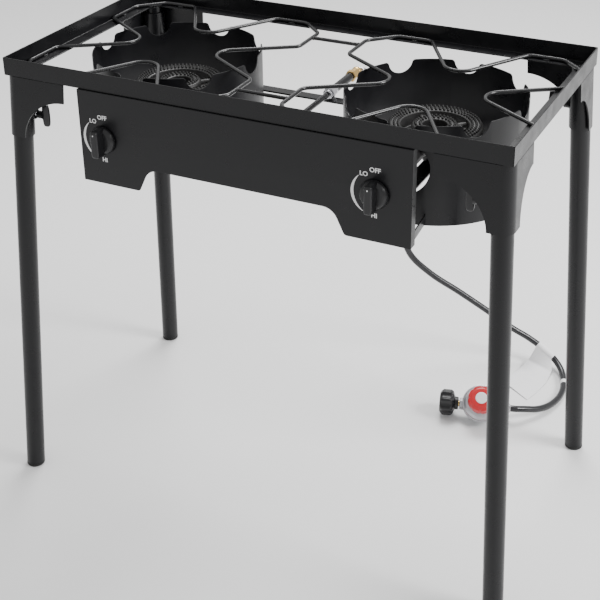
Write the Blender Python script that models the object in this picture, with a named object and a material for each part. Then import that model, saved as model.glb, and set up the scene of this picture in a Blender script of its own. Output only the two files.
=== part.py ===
"""Two-burner propane stove stand.

An angle-iron frame stands on four splayed tube legs, each clamped in a corner bracket. Two wire grates lie
in the frame over two cast burners, each inside a notched wind guard. A control panel with two valves hangs
under the front rail, and a gas pipe runs from it to the back, where the hose and its regulator join on.

Metres, +Z up, the front is -Y. The origin is on the ground, under the middle of the stand.
"""
import math

import bmesh
import bpy
from mathutils import Vector

# Driving dimensions
FRAME_LENGTH = 0.800
FRAME_DEPTH = 0.410
STAND_HEIGHT = 0.750
RAIL_HEIGHT = 0.028
RAIL_FLANGE = 0.025
RAIL_WALL = 0.002
LEG_RADIUS = 0.0155
LEG_WALL = 0.0015
LEG_INSET = 0.0195  # from the frame's outer faces to a leg's axis, at the rim
LEG_SPLAY = 0.0525  # outward travel of a leg for each metre down, along X and along Y
BRACKET_DROP = 0.125  # from the rim down to a bracket's tip
SHEET = 0.002
GRATE_WIRE = 0.003
CELL_X = 0.2184  # from the middle of the stand to a burner's axis
VALVE_SHIFT = -0.0062  # how far along X each valve and its burner tube stand off their burner's axis
GUARD_RADIUS = 0.1346
GUARD_SHEET = 0.0015
GUARD_TOP_DROP = 0.0262
GUARD_BOTTOM_DROP = 0.1776
PANEL_FACE_Y = -0.208
PANEL_SHEET = 0.0015
VALVE_DROP = 0.102  # from the rim down to the valves, the gas pipes and the burner tubes
KNOB_RADIUS = 0.0215
HOSE_RADIUS = 0.006
GAP = 0.0003

HALF_X = FRAME_LENGTH / 2
HALF_Y = FRAME_DEPTH / 2
RIM_BOTTOM = STAND_HEIGHT - RAIL_HEIGHT
FLANGE_TOP = RIM_BOTTOM + RAIL_WALL
GRATE_Z = FLANGE_TOP + GAP + GRATE_WIRE
VALVE_Z = STAND_HEIGHT - VALVE_DROP
CORNERS = {
    "front_left": (-1, -1),
    "front_right": (1, -1),
    "rear_right": (1, 1),
    "rear_left": (-1, 1),
}
SIDES = {"left": -1, "right": 1}

for old in list(bpy.data.objects):
    bpy.data.objects.remove(old, do_unlink=True)


# Materials


def make_material(name, colour, roughness, metallic):
    material = bpy.data.materials.new(name)
    material.use_nodes = True
    shader = material.node_tree.nodes["Principled BSDF"]
    shader.inputs["Base Color"].default_value = (*colour, 1.0)
    shader.inputs["Roughness"].default_value = roughness
    shader.inputs["Metallic"].default_value = metallic
    return material


FRAME_PAINT = make_material("frame_paint", (0.018, 0.018, 0.020), 0.42, 0.2)
GRATE_PAINT = make_material("grate_paint", (0.025, 0.025, 0.026), 0.35, 0.3)
GUARD_PAINT = make_material("guard_paint", (0.015, 0.015, 0.017), 0.45, 0.2)
PANEL_PAINT = make_material("panel_paint", (0.020, 0.020, 0.022), 0.45, 0.2)
CAST_IRON = make_material("cast_iron", (0.030, 0.030, 0.030), 0.6, 0.5)
KNOB_PLASTIC = make_material("knob_plastic", (0.022, 0.022, 0.024), 0.35, 0.0)
FOOT_RUBBER = make_material("foot_plug", (0.015, 0.015, 0.015), 0.6, 0.0)
BRASS = make_material("brass", (0.72, 0.50, 0.20), 0.3, 1.0)
ZINC = make_material("zinc", (0.62, 0.62, 0.64), 0.35, 1.0)
HOSE_RUBBER = make_material("hose_rubber", (0.016, 0.016, 0.018), 0.4, 0.0)
PAPER = make_material("paper", (0.80, 0.80, 0.80), 0.6, 0.0)
RED_PLASTIC = make_material("red_plastic", (0.60, 0.02, 0.03), 0.35, 0.0)


# Mesh helpers


def object_from(bm, name, material, origin=(0, 0, 0)):
    """Makes an object with its origin at a world point, from a bmesh whose points are world points."""
    bmesh.ops.recalc_face_normals(bm, faces=bm.faces)
    bmesh.ops.translate(bm, verts=bm.verts, vec=-Vector(origin))
    mesh = bpy.data.meshes.new(name)
    bm.to_mesh(mesh)
    bm.free()
    mesh.materials.append(material)
    part = bpy.data.objects.new(name, mesh)
    part.location = origin
    bpy.context.collection.objects.link(part)
    return part


def shade_round(part, degrees=35):
    part.data.shade_smooth()
    part.data.set_sharp_from_angle(angle=math.radians(degrees))
    return part


def loft(bm, rings, closed):
    """Joins rings of points, each the same length, with quads. closed joins the last ring to the first."""
    loops = [[bm.verts.new(point) for point in ring] for ring in rings]
    pairs = list(zip(loops, loops[1:]))
    if closed:
        pairs.append((loops[-1], loops[0]))
    else:
        bm.faces.new(loops[0])
        bm.faces.new(loops[-1])
    for low, high in pairs:
        for i, vert in enumerate(low):
            after = (i + 1) % len(low)
            bm.faces.new((vert, low[after], high[after], high[i]))


def axis_frame(axis):
    """Two unit vectors square to an axis."""
    axis = Vector(axis).normalized()
    side = axis.cross(Vector((0, 0, 1)))
    if side.length < 0.01:
        side = Vector((1, 0, 0))
    side.normalize()
    return side, axis.cross(side)


def turned(name, profile, start, axis, material, steps=24, hollow=False, round_shading=True):
    """A turned piece: profile is (distance along the axis, radius), and hollow closes it as a ring."""
    start = Vector(start)
    axis = Vector(axis).normalized()
    side, up = axis_frame(axis)
    rings = []
    for along, radius in profile:
        centre = start + axis * along
        turns = (2 * math.pi * i / steps for i in range(steps))
        rings.append([centre + (side * math.cos(t) + up * math.sin(t)) * radius for t in turns])
    bm = bmesh.new()
    loft(bm, rings, hollow)
    part = object_from(bm, name, material, start)
    return shade_round(part) if round_shading else part


def prism(name, outline, low, high, lift, material):
    """An outline of 2D points given thickness: lift(a, b, depth) turns a point into a world point."""
    bm = bmesh.new()
    loft(bm, [[lift(a, b, depth) for a, b in outline] for depth in (low, high)], False)
    return object_from(bm, name, material)


def level(a, b, depth):
    return Vector((a, b, depth))


def upright(a, b, depth):
    return Vector((a, depth, b))


def block(name, low, high, material):
    outline = [(low[0], low[1]), (high[0], low[1]), (high[0], high[1]), (low[0], high[1])]
    return prism(name, outline, low[2], high[2], level, material)


def rounded_outline(corners, steps=5):
    """A polygon of (a, b, radius) corners, each corner with a radius drawn as an arc."""
    points = []
    for i, (a, b, radius) in enumerate(corners):
        here = Vector((a, b))
        if radius == 0:
            points.append((a, b))
            continue
        before = Vector(corners[i - 1][:2]) - here
        after = Vector(corners[(i + 1) % len(corners)][:2]) - here
        half = before.angle(after) / 2
        run = radius / math.tan(half)
        centre = here + (before.normalized() + after.normalized()).normalized() * (radius / math.sin(half))
        first = here + before.normalized() * run - centre
        last = here + after.normalized() * run - centre
        turn = math.atan2(first.x * last.y - first.y * last.x, first.dot(last))
        for k in range(steps + 1):
            angle = turn * k / steps
            c, s = math.cos(angle), math.sin(angle)
            points.append((centre.x + first.x * c - first.y * s, centre.y + first.x * s + first.y * c))
    return points


def apply_boolean(part, operation, tools):
    """Adds each tool to the part, or cuts it away, and leaves the tool as a hidden guide."""
    for tool in tools:
        modifier = part.modifiers.new(operation.lower(), "BOOLEAN")
        modifier.operation = operation
        modifier.solver = "EXACT"
        modifier.object = tool
        tool.hide_render = True
        tool.display_type = "WIRE"
    return part


# Frame: four lengths of angle, mitred at the corners, upright wall outside and flange inward at the bottom


def make_rail(name, half_length, half_width, place):
    """place(along, across, z) puts a point of the rail, which is drawn as one of the long front rails."""
    section = [
        (0, RIM_BOTTOM),
        (RAIL_FLANGE, RIM_BOTTOM),
        (RAIL_FLANGE, FLANGE_TOP),
        (RAIL_WALL, FLANGE_TOP),
        (RAIL_WALL, STAND_HEIGHT),
        (0, STAND_HEIGHT),
    ]
    rings = []
    for end in (-1, 1):
        rings.append([place(end * (half_length - d - GAP / 2), half_width - d, z) for d, z in section])
    bm = bmesh.new()
    loft(bm, rings, False)
    return object_from(bm, name, FRAME_PAINT)


make_rail("rail_front", HALF_X, HALF_Y, lambda a, b, z: Vector((a, -b, z)))
make_rail("rail_rear", HALF_X, HALF_Y, lambda a, b, z: Vector((a, b, z)))
make_rail("rail_left", HALF_Y, HALF_X, lambda a, b, z: Vector((-b, a, z)))
make_rail("rail_right", HALF_Y, HALF_X, lambda a, b, z: Vector((b, a, z)))


# Corner brackets, sockets, legs and feet: all lean outward along the legs


def leg_axis(corner, z):
    """The point of a leg's axis at height z."""
    out = LEG_SPLAY * (STAND_HEIGHT - z)
    return Vector((corner[0] * (HALF_X - LEG_INSET + out), corner[1] * (HALF_Y - LEG_INSET + out), z))


def from_axis(corner, inward_x, inward_y, z):
    """A point given by its distances from the leg's axis towards the middle of the stand."""
    return leg_axis(corner, z) - Vector((corner[0] * inward_x, corner[1] * inward_y, 0))


BRACKET_BEND = LEG_RADIUS + GAP + 0.0002 + SHEET
BRACKET_ARM_X = 0.090
BRACKET_ARM_Y = 0.070
BRACKET_END_DROP = 0.058
BRACKET_TIP = 0.017  # how far the narrow foot of each arm reaches inward from the leg's axis
BRACKET_TOP = RIM_BOTTOM - GAP


def bracket_arm(reach):
    """Stations along one arm, from its end to the bend: (distance from the axis, drop of its lower edge)."""
    width = reach - BRACKET_TIP
    height = BRACKET_DROP - BRACKET_END_DROP
    steps = 9
    stations = []
    for i in range(steps + 1):
        turn = math.pi / 2 * i / steps
        stations.append((reach - width * math.sin(turn), BRACKET_DROP - height * math.cos(turn)))
    stations.append((0, BRACKET_DROP))
    return stations


def make_bracket(name, corner):
    outer, inner, drops = [], [], []
    for along, drop in bracket_arm(BRACKET_ARM_X):
        outer.append((along, -BRACKET_BEND))
        inner.append((along, -BRACKET_BEND + SHEET))
        drops.append(drop)
    bend_steps = 5
    for i in range(1, bend_steps):
        turn = math.pi / 2 * i / bend_steps
        outer.append((-BRACKET_BEND * math.sin(turn), -BRACKET_BEND * math.cos(turn)))
        inner_radius = BRACKET_BEND - SHEET
        inner.append((-inner_radius * math.sin(turn), -inner_radius * math.cos(turn)))
        drops.append(BRACKET_DROP)
    for along, drop in reversed(bracket_arm(BRACKET_ARM_Y)):
        outer.append((-BRACKET_BEND, along))
        inner.append((-BRACKET_BEND + SHEET, along))
        drops.append(drop)
    rings = []
    for out, into, drop in zip(outer, inner, drops):
        low = STAND_HEIGHT - drop
        rings.append(
            [
                from_axis(corner, *out, BRACKET_TOP),
                from_axis(corner, *into, BRACKET_TOP),
                from_axis(corner, *into, low),
                from_axis(corner, *out, low),
            ]
        )
    bm = bmesh.new()
    loft(bm, rings, False)
    return shade_round(object_from(bm, name, FRAME_PAINT))


def splayed_rings(corner, profile, steps=24):
    """Level circles centred on the leg's axis, from a profile of (radius, z)."""
    rings = []
    for radius, z in profile:
        centre = leg_axis(corner, z)
        turns = (2 * math.pi * i / steps for i in range(steps))
        rings.append([centre + Vector((math.cos(t), math.sin(t), 0)) * radius for t in turns])
    return rings


SCREW_DROP = 0.090  # from the rim down to a clamp screw
SCREW_RADIUS = 0.003
BOSS_REACH = 0.026  # from the leg's axis to the boss's face
SOCKET_BORE = LEG_RADIUS + GAP
SOCKET_RADIUS = 0.0180
SOCKET_TOP = STAND_HEIGHT - 0.040
SOCKET_BOTTOM = STAND_HEIGHT - 0.128


def make_socket(name, corner):
    """The inner half of the leg's socket: a strap bent round the leg between the bracket's two arms."""
    first, last, steps = math.radians(-58), math.radians(148), 14
    rings = []
    for i in range(steps + 1):
        turn = first + (last - first) * i / steps
        ring = []
        for radius, z in (
            (SOCKET_BORE, SOCKET_BOTTOM),
            (SOCKET_RADIUS, SOCKET_BOTTOM),
            (SOCKET_RADIUS, SOCKET_TOP),
            (SOCKET_BORE, SOCKET_TOP),
        ):
            ring.append(from_axis(corner, radius * math.cos(turn), radius * math.sin(turn), z))
        rings.append(ring)
    bm = bmesh.new()
    loft(bm, rings, False)
    socket = shade_round(object_from(bm, name, FRAME_PAINT))
    inward = Vector((-corner[0], 0, 0))
    centre = leg_axis(corner, STAND_HEIGHT - SCREW_DROP)
    boss_profile = [(0.0165, 0.0085), (BOSS_REACH - 0.001, 0.0085), (BOSS_REACH, 0.0075)]
    boss = turned(name + "_boss", boss_profile, centre, inward, FRAME_PAINT, 12)
    bore_profile = [(0.012, SCREW_RADIUS + GAP), (BOSS_REACH + 0.004, SCREW_RADIUS + GAP)]
    bore = turned(name + "_bore", bore_profile, centre, inward, FRAME_PAINT, 12)
    apply_boolean(socket, "UNION", [boss])
    return apply_boolean(socket, "DIFFERENCE", [bore])


def make_clamp_screw(name, corner):
    """A screw that pinches the leg, turned by a bar handle on its hub."""
    inward = Vector((-corner[0], 0, 0))
    centre = leg_axis(corner, STAND_HEIGHT - SCREW_DROP)
    profile = [
        (LEG_RADIUS + 0.0005, 0.0022),
        (LEG_RADIUS + 0.0015, SCREW_RADIUS),
        (BOSS_REACH + 0.003, SCREW_RADIUS),
        (BOSS_REACH + 0.003, 0.0060),
        (BOSS_REACH + 0.013, 0.0055),
    ]
    screw = turned(name, profile, centre, inward, KNOB_PLASTIC, 12)
    bar_start = BOSS_REACH + 0.010
    bar_depth, bar_half = 0.013, 0.018
    corners = [
        (-0.0045, -bar_half, 0.004),
        (0.0045, -bar_half, 0.004),
        (0.0045, bar_half, 0.004),
        (-0.0045, bar_half, 0.004),
    ]

    def across(a, b, depth):
        return centre + inward * depth + Vector((0, a, b))

    bar = prism(
        name + "_bar", rounded_outline(corners, 3), bar_start, bar_start + bar_depth, across, KNOB_PLASTIC
    )
    return apply_boolean(screw, "UNION", [bar])


LEG_BOTTOM = 0.006
LEG_TOP = RIM_BOTTOM - GAP
PLUG_RADIUS = LEG_RADIUS - LEG_WALL - GAP


def make_leg(name, corner):
    inner = LEG_RADIUS - LEG_WALL
    profile = [(LEG_RADIUS, LEG_BOTTOM), (LEG_RADIUS, LEG_TOP), (inner, LEG_TOP), (inner, LEG_BOTTOM)]
    bm = bmesh.new()
    loft(bm, splayed_rings(corner, profile), True)
    return shade_round(object_from(bm, name, FRAME_PAINT, leg_axis(corner, LEG_TOP)))


def make_foot(name, corner):
    profile = [
        (LEG_RADIUS - 0.004, 0),
        (LEG_RADIUS - 0.001, 0.0012),
        (LEG_RADIUS, 0.0035),
        (LEG_RADIUS, LEG_BOTTOM - GAP),
        (PLUG_RADIUS, LEG_BOTTOM - GAP),
        (PLUG_RADIUS, 0.024),
    ]
    bm = bmesh.new()
    loft(bm, splayed_rings(corner, profile), False)
    return shade_round(object_from(bm, name, FOOT_RUBBER, leg_axis(corner, 0)))


for corner_name, corner_signs in CORNERS.items():
    make_bracket("corner_bracket_" + corner_name, corner_signs)
    make_socket("leg_socket_" + corner_name, corner_signs)
    make_clamp_screw("clamp_screw_" + corner_name, corner_signs)
    make_leg("leg_" + corner_name, corner_signs)
    make_foot("foot_" + corner_name, corner_signs)


# Pot grates: each is one closed loop of wire with a rounded V let into each of its four sides

CELL_HALF_X = 0.176
CELL_HALF_Y = 0.190
V_TIP = 0.070
V_REACH = 0.080  # half the width of a V where it meets its side
CHAMFER = 0.040


def grate_outline():
    """Corners of a loop round its own middle, with the radius of each bend."""
    corners = []
    for quarter, (side, across) in enumerate(
        ((CELL_HALF_Y, CELL_HALF_X), (CELL_HALF_X, CELL_HALF_Y)) * 2
    ):
        turn = math.pi / 2 * quarter
        v_point = V_TIP - 0.016
        flat = [
            (-across + CHAMFER, -side, 0.018),
            (-V_REACH, -side, 0.014),
            (0, -v_point, 0.026),
            (V_REACH, -side, 0.014),
            (across - CHAMFER, -side, 0.018),
        ]
        for a, b, radius in flat:
            c, s = math.cos(turn), math.sin(turn)
            corners.append((a * c - b * s, a * s + b * c, radius))
    return rounded_outline(corners, 4)


def wire(name, points, closed, radius, material, resolution=1):
    curve = bpy.data.curves.new(name, "CURVE")
    curve.dimensions = "3D"
    curve.bevel_depth = radius
    curve.bevel_resolution = resolution
    curve.use_fill_caps = True
    spline = curve.splines.new("POLY")
    spline.points.add(len(points) - 1)
    for spline_point, point in zip(spline.points, points):
        spline_point.co = (*point, 1)
    spline.use_cyclic_u = closed
    curve.materials.append(material)
    part = bpy.data.objects.new(name, curve)
    bpy.context.collection.objects.link(part)
    return part


for side_name, side in SIDES.items():
    loop = [(side * CELL_X + a, b, GRATE_Z) for a, b in grate_outline()]
    wire("pot_grate_" + side_name, loop, True, GRATE_WIRE, GRATE_PAINT)

LINK_Y = 0.126
LINK_HALF = CELL_X - CELL_HALF_X - GRATE_WIRE - GAP
for rod_name, rod_y in (("front", -LINK_Y), ("rear", LINK_Y)):
    rod_profile = [(0, GRATE_WIRE), (2 * LINK_HALF, GRATE_WIRE)]
    turned("link_rod_" + rod_name, rod_profile, (-LINK_HALF, rod_y, GRATE_Z), (1, 0, 0), GRATE_PAINT, 10)


# Wind guards: rolled sheet with eight tabs between round notches, and a round hole in front for the tube

GUARD_TOP = STAND_HEIGHT - GUARD_TOP_DROP
GUARD_BOTTOM = STAND_HEIGHT - GUARD_BOTTOM_DROP
NOTCHES = 8
NOTCH_HALF = 0.0254
NOTCH_DEPTH = 0.0190
GUARD_HOLE = 0.042
GUARD_HOLE_Z = 0.6585


def guard_stations():
    """(angle, top height) round a guard, with more stations in the notches."""
    stations = []
    pitch = 2 * math.pi / NOTCHES
    half_angle = NOTCH_HALF / GUARD_RADIUS
    steps = 10
    for n in range(NOTCHES):
        middle = pitch * n - math.pi / 2
        for i in range(steps + 1):
            turn = math.pi * i / steps
            angle = middle - half_angle * math.cos(turn)
            stations.append((angle, GUARD_TOP - NOTCH_DEPTH * math.sin(turn)))
        tab_gap = pitch - 2 * half_angle
        stations.append((middle + half_angle + tab_gap / 2, GUARD_TOP))
    return stations


def make_guard(name, side):
    inner = GUARD_RADIUS - GUARD_SHEET
    rings = []
    for angle, top in guard_stations():
        direction = Vector((math.cos(angle), math.sin(angle), 0))
        middle = Vector((side * CELL_X, 0, 0))
        ring = []
        outer = GUARD_RADIUS
        for radius, z in ((outer, GUARD_BOTTOM), (outer, top), (inner, top), (inner, GUARD_BOTTOM)):
            ring.append(middle + direction * radius + Vector((0, 0, z)))
        rings.append(ring)
    bm = bmesh.new()
    loft(bm, rings, True)
    guard = shade_round(object_from(bm, name, GUARD_PAINT))
    hole_profile = [(0, GUARD_HOLE), (0.060, GUARD_HOLE)]
    hole_start = (side * CELL_X, -GUARD_RADIUS - 0.020, GUARD_HOLE_Z)
    hole = turned(name + "_hole", hole_profile, hole_start, (0, 1, 0), GUARD_PAINT, 24)
    return apply_boolean(guard, "DIFFERENCE", [hole])


for side_name, side in SIDES.items():
    make_guard("wind_guard_" + side_name, side)


# Burners: one casting each, two rings on spokes over a hub, with the mixing tube running out to the front

BURNER_TOP = STAND_HEIGHT - 0.078
BURNER_RING = (0.050, 0.071)
BURNER_INNER_RING = (0.018, 0.035)
RING_DEPTH = 0.020
TUBE_RADIUS = 0.013
TUBE_BORE = 0.0105
MOUTH_Y = -0.150
HUB_BOTTOM = VALVE_Z - 0.033


def make_burner(name, side):
    x = side * CELL_X
    top = (x, 0, BURNER_TOP)
    down = (0, 0, -1)
    rings = []
    for inner, outer in (BURNER_RING, BURNER_INNER_RING):
        profile = [
            (0.002, inner),
            (0, inner + 0.003),
            (0, outer - 0.006),
            (0.006, outer),
            (RING_DEPTH, outer - 0.002),
            (RING_DEPTH, inner),
        ]
        rings.append(turned(name + "_ring", profile, top, down, CAST_IRON, 36, hollow=True))
    body = rings[0]
    body.name = name
    pieces = [rings[1]]
    hub_profile = [(RING_DEPTH - 0.004, 0.026), (0.042, 0.020), (BURNER_TOP - HUB_BOTTOM, 0.018)]
    pieces.append(turned(name + "_hub", hub_profile, top, down, CAST_IRON, 20))
    spoke_z = (BURNER_TOP - RING_DEPTH + 0.001, BURNER_TOP - 0.008)
    for spoke in range(4):
        turn = math.pi / 4 + math.pi / 2 * spoke
        along = Vector((math.cos(turn), math.sin(turn), 0))
        across = Vector((-along.y, along.x, 0))
        outline = [(0.024, -0.006), (0.056, -0.006), (0.056, 0.006), (0.024, 0.006)]

        def lift(a, b, z, along=along, across=across):
            return Vector((x, 0, z)) + along * a + across * b

        pieces.append(prism(name + "_spoke", outline, *spoke_z, lift, CAST_IRON))
    mouth = (x + VALVE_SHIFT, MOUTH_Y, VALVE_Z)
    tube_profile = [(0, 0.0185), (0.004, 0.0190), (0.008, 0.0170), (0.020, TUBE_RADIUS)]
    tube_profile.append((-MOUTH_Y, TUBE_RADIUS))
    pieces.append(turned(name + "_tube", tube_profile, mouth, (0, 1, 0), CAST_IRON, 20))
    apply_boolean(body, "UNION", pieces)
    bore_profile = [(-0.010, 0.0165), (0.002, 0.0160), (0.018, TUBE_BORE), (-MOUTH_Y - 0.006, TUBE_BORE)]
    bore = turned(name + "_bore", bore_profile, mouth, (0, 1, 0), CAST_IRON, 20)
    bolt_hole = turned(
        name + "_bolt_hole",
        [(-0.001, 0.0035), (0.0040, 0.0035)],
        (x, 0, HUB_BOTTOM),
        (0, 0, 1),
        CAST_IRON,
        10,
    )
    return apply_boolean(body, "DIFFERENCE", [bore, bolt_hole])


def make_shutter(name, side):
    """The air shutter: a disc over the tube's mouth with two windows and a hole for the gas jet."""
    start = (side * CELL_X + VALVE_SHIFT, MOUTH_Y - GAP - 0.0015, VALVE_Z)
    profile = [(0, 0.0060), (0, 0.0200), (0.0015, 0.0200), (0.0015, 0.0060)]
    disc = turned(name, profile, start, (0, 1, 0), FRAME_PAINT, 24, hollow=True)
    windows = []
    for sign in (-1, 1):
        outline = []
        for radius, turns in ((0.0155, range(6)), (0.0095, range(5, -1, -1))):
            for i in turns:
                angle = math.radians(-40 + 16 * i)
                across = start[0] + sign * radius * math.cos(angle)
                outline.append((across, VALVE_Z + radius * math.sin(angle)))
        window = prism(name + "_window", outline, start[1] - 0.002, start[1] + 0.004, upright, FRAME_PAINT)
        windows.append(window)
    return apply_boolean(disc, "DIFFERENCE", windows)


BAR_THICK = 0.003
BAR_HALF = 0.0125
BAR_TOP = HUB_BOTTOM - GAP


def make_burner_bar(name, side):
    """The flat bar under a burner, front to back, cut to the guard's inner wall and bolted up to the hub."""
    reach = GUARD_RADIUS - GUARD_SHEET - GAP
    outline = []
    for end in (-1, 1):
        for x in (-BAR_HALF * end, 0, BAR_HALF * end):
            outline.append((side * CELL_X + x, -end * (math.sqrt(reach**2 - x**2) - GAP)))
    bar = prism(name, outline, BAR_TOP - BAR_THICK, BAR_TOP, level, FRAME_PAINT)
    hole_profile = [(-0.002, 0.0035), (BAR_THICK + 0.002, 0.0035)]
    hole_start = (side * CELL_X, 0, BAR_TOP - BAR_THICK)
    hole = turned(name + "_hole", hole_profile, hole_start, (0, 0, 1), FRAME_PAINT, 10)
    return apply_boolean(bar, "DIFFERENCE", [hole])


def make_burner_bolt(name, side):
    """The bolt that holds a burner down on its bar: its head is under the bar."""
    head = BAR_TOP - BAR_THICK - GAP
    profile = [(-0.0045, 0.0065), (0, 0.0065), (0, 0.0031), (HUB_BOTTOM + 0.0035 - head, 0.0031)]
    return turned(name, profile, (side * CELL_X, 0, head), (0, 0, 1), ZINC, 12)


for side_name, side in SIDES.items():
    make_burner_bolt("burner_bolt_" + side_name, side)
    make_burner("burner_" + side_name, side)
    make_shutter("air_shutter_" + side_name, side)
    make_burner_bar("burner_bar_" + side_name, side)


# Control panel under the front rail, with a flange turned back along its top and both ends

PANEL_HALF = 0.266
PANEL_TOP = RIM_BOTTOM - GAP
PANEL_LOBE_BOTTOM = STAND_HEIGHT - 0.175
PANEL_MIDDLE_BOTTOM = STAND_HEIGHT - 0.137
STEM_HOLE = 0.0070


def make_panel():
    half_outline = [
        (PANEL_HALF, PANEL_TOP, 0),
        (PANEL_HALF, PANEL_LOBE_BOTTOM, 0),
        (0.167, PANEL_LOBE_BOTTOM, 0.006),
        (0.149, PANEL_MIDDLE_BOTTOM, 0.024),
    ]
    mirrored = [(-x, z, radius) for x, z, radius in reversed(half_outline)]
    outline = rounded_outline(half_outline + mirrored)
    back = PANEL_FACE_Y + PANEL_SHEET
    panel = prism("control_panel", outline, PANEL_FACE_Y, back, upright, PANEL_PAINT)
    flange = block(
        "panel_top_flange",
        (-PANEL_HALF, PANEL_FACE_Y + 0.0005, PANEL_TOP - PANEL_SHEET),
        (PANEL_HALF, PANEL_FACE_Y + 0.020, PANEL_TOP),
        PANEL_PAINT,
    )
    returns = []
    for sign in SIDES.values():
        ends = sorted((sign * PANEL_HALF, sign * (PANEL_HALF - PANEL_SHEET)))
        low = (ends[0], PANEL_FACE_Y + 0.0005, PANEL_LOBE_BOTTOM)
        high = (ends[1], PANEL_FACE_Y + 0.015, PANEL_TOP - 0.0005)
        returns.append(block("panel_end_flange", low, high, PANEL_PAINT))
    holes = []
    for sign in SIDES.values():
        start = (sign * CELL_X + VALVE_SHIFT, PANEL_FACE_Y - 0.005, VALVE_Z)
        drill = [(0, STEM_HOLE), (0.012, STEM_HOLE)]
        holes.append(turned("panel_hole", drill, start, (0, 1, 0), PANEL_PAINT, 16))
    apply_boolean(panel, "UNION", [flange] + returns)
    return apply_boolean(panel, "DIFFERENCE", holes)


make_panel()

BRACE_HEIGHT = 0.014
BRACE_PANEL_END = 0.0436
BRACE_GUARD_END = 0.0371
for side_name, side in SIDES.items():
    brace_outline = []
    for offset in (-0.001, 0.001):
        brace_outline.append((side * (CELL_X + BRACE_PANEL_END) + offset, PANEL_FACE_Y + PANEL_SHEET + GAP))
    for offset in (0.001, -0.001):
        across = side * BRACE_GUARD_END + offset
        guard_y = -math.sqrt((GUARD_RADIUS + GAP) ** 2 - across**2) - GAP
        brace_outline.append((side * CELL_X + across, guard_y))
    brace_low = GUARD_BOTTOM + 0.0030
    prism("panel_brace_" + side_name, brace_outline, brace_low, brace_low + BRACE_HEIGHT, level, FRAME_PAINT)


# Valves and knobs. A valve's stem comes through the panel into its knob, and its jet enters the air shutter

KNOB_BACK = PANEL_FACE_Y - 0.0007
KNOB_SKIRT = 0.010
KNOB_GRIP = 0.0155
STEM_RADIUS = 0.0030
VALVE_RADIUS = 0.0105
MANIFOLD_Y = -0.186


def make_valve(name, side):
    start = (side * CELL_X + VALVE_SHIFT, KNOB_BACK - 0.012, VALVE_Z)
    behind = PANEL_FACE_Y + PANEL_SHEET + GAP - start[1]
    front = KNOB_BACK - start[1]
    profile = [
        (0, STEM_RADIUS),
        (front, STEM_RADIUS),
        (front, STEM_HOLE - GAP),
        (behind, STEM_HOLE - GAP),
        (behind, VALVE_RADIUS),
        (behind + 0.032, VALVE_RADIUS),
        (behind + 0.036, 0.0055),
        (behind + 0.048, 0.0050),
        (behind + 0.058, 0.0025),
    ]
    return turned(name, profile, start, (0, 1, 0), BRASS, 20)


def make_knob(name, side):
    """A round skirt with a bar grip across it, bored from behind for the valve's stem."""
    start = (side * CELL_X + VALVE_SHIFT, KNOB_BACK - GAP, VALVE_Z)
    front = Vector((0, -1, 0))
    profile = [(0, KNOB_RADIUS), (0.0030, KNOB_RADIUS), (KNOB_SKIRT, KNOB_RADIUS - 0.0020)]
    knob = turned(name, profile, start, front, KNOB_PLASTIC, 32)
    grip_half = KNOB_RADIUS + 0.0005
    corners = [
        (-0.0078, -grip_half, 0.006),
        (0.0078, -grip_half, 0.006),
        (0.0078, grip_half, 0.006),
        (-0.0078, grip_half, 0.006),
    ]

    def forward(a, b, depth):
        narrowing = 1 - 1.5 * max(0, depth - KNOB_SKIRT)
        return Vector(start) + front * depth + Vector((a * narrowing, 0, b * narrowing))

    grip_end = KNOB_SKIRT + KNOB_GRIP
    grip = prism(name + "_grip", rounded_outline(corners, 3), 0.004, grip_end, forward, KNOB_PLASTIC)
    bore_profile = [(-0.005, STEM_RADIUS + GAP), (0.0130, STEM_RADIUS + GAP)]
    bore = turned(name + "_bore", bore_profile, start, front, KNOB_PLASTIC, 20)
    apply_boolean(knob, "UNION", [grip])
    return apply_boolean(knob, "DIFFERENCE", [bore])


for side_name, side in SIDES.items():
    make_valve("gas_valve_" + side_name, side)
    make_knob("knob_" + side_name, side)


# Gas pipes: from each valve to a tee behind the panel, and from the tee to the inlet at the back

TEE_HALF = 0.013
PIPE_RADIUS = 0.0045
INLET_RADIUS = 0.0070
UNION_Y = 0.092
INLET_Y = 0.118
FITTING_Y = 0.182
ELBOW = Vector((0, 0.208, VALVE_Z))
ELBOW_REACH = 0.012
DIP = math.radians(24)
INLET_DIP = Vector((0, math.cos(DIP), -math.sin(DIP)))  # the way that the hose leaves the elbow

for side_name, side in SIDES.items():
    tube_start = (side * (TEE_HALF + GAP), MANIFOLD_Y, VALVE_Z)
    tube_run = CELL_X + side * VALVE_SHIFT - VALVE_RADIUS - GAP - TEE_HALF - GAP
    tube_profile = [(0, PIPE_RADIUS), (tube_run, PIPE_RADIUS)]
    turned("manifold_tube_" + side_name, tube_profile, tube_start, (side, 0, 0), FRAME_PAINT, 12)

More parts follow.
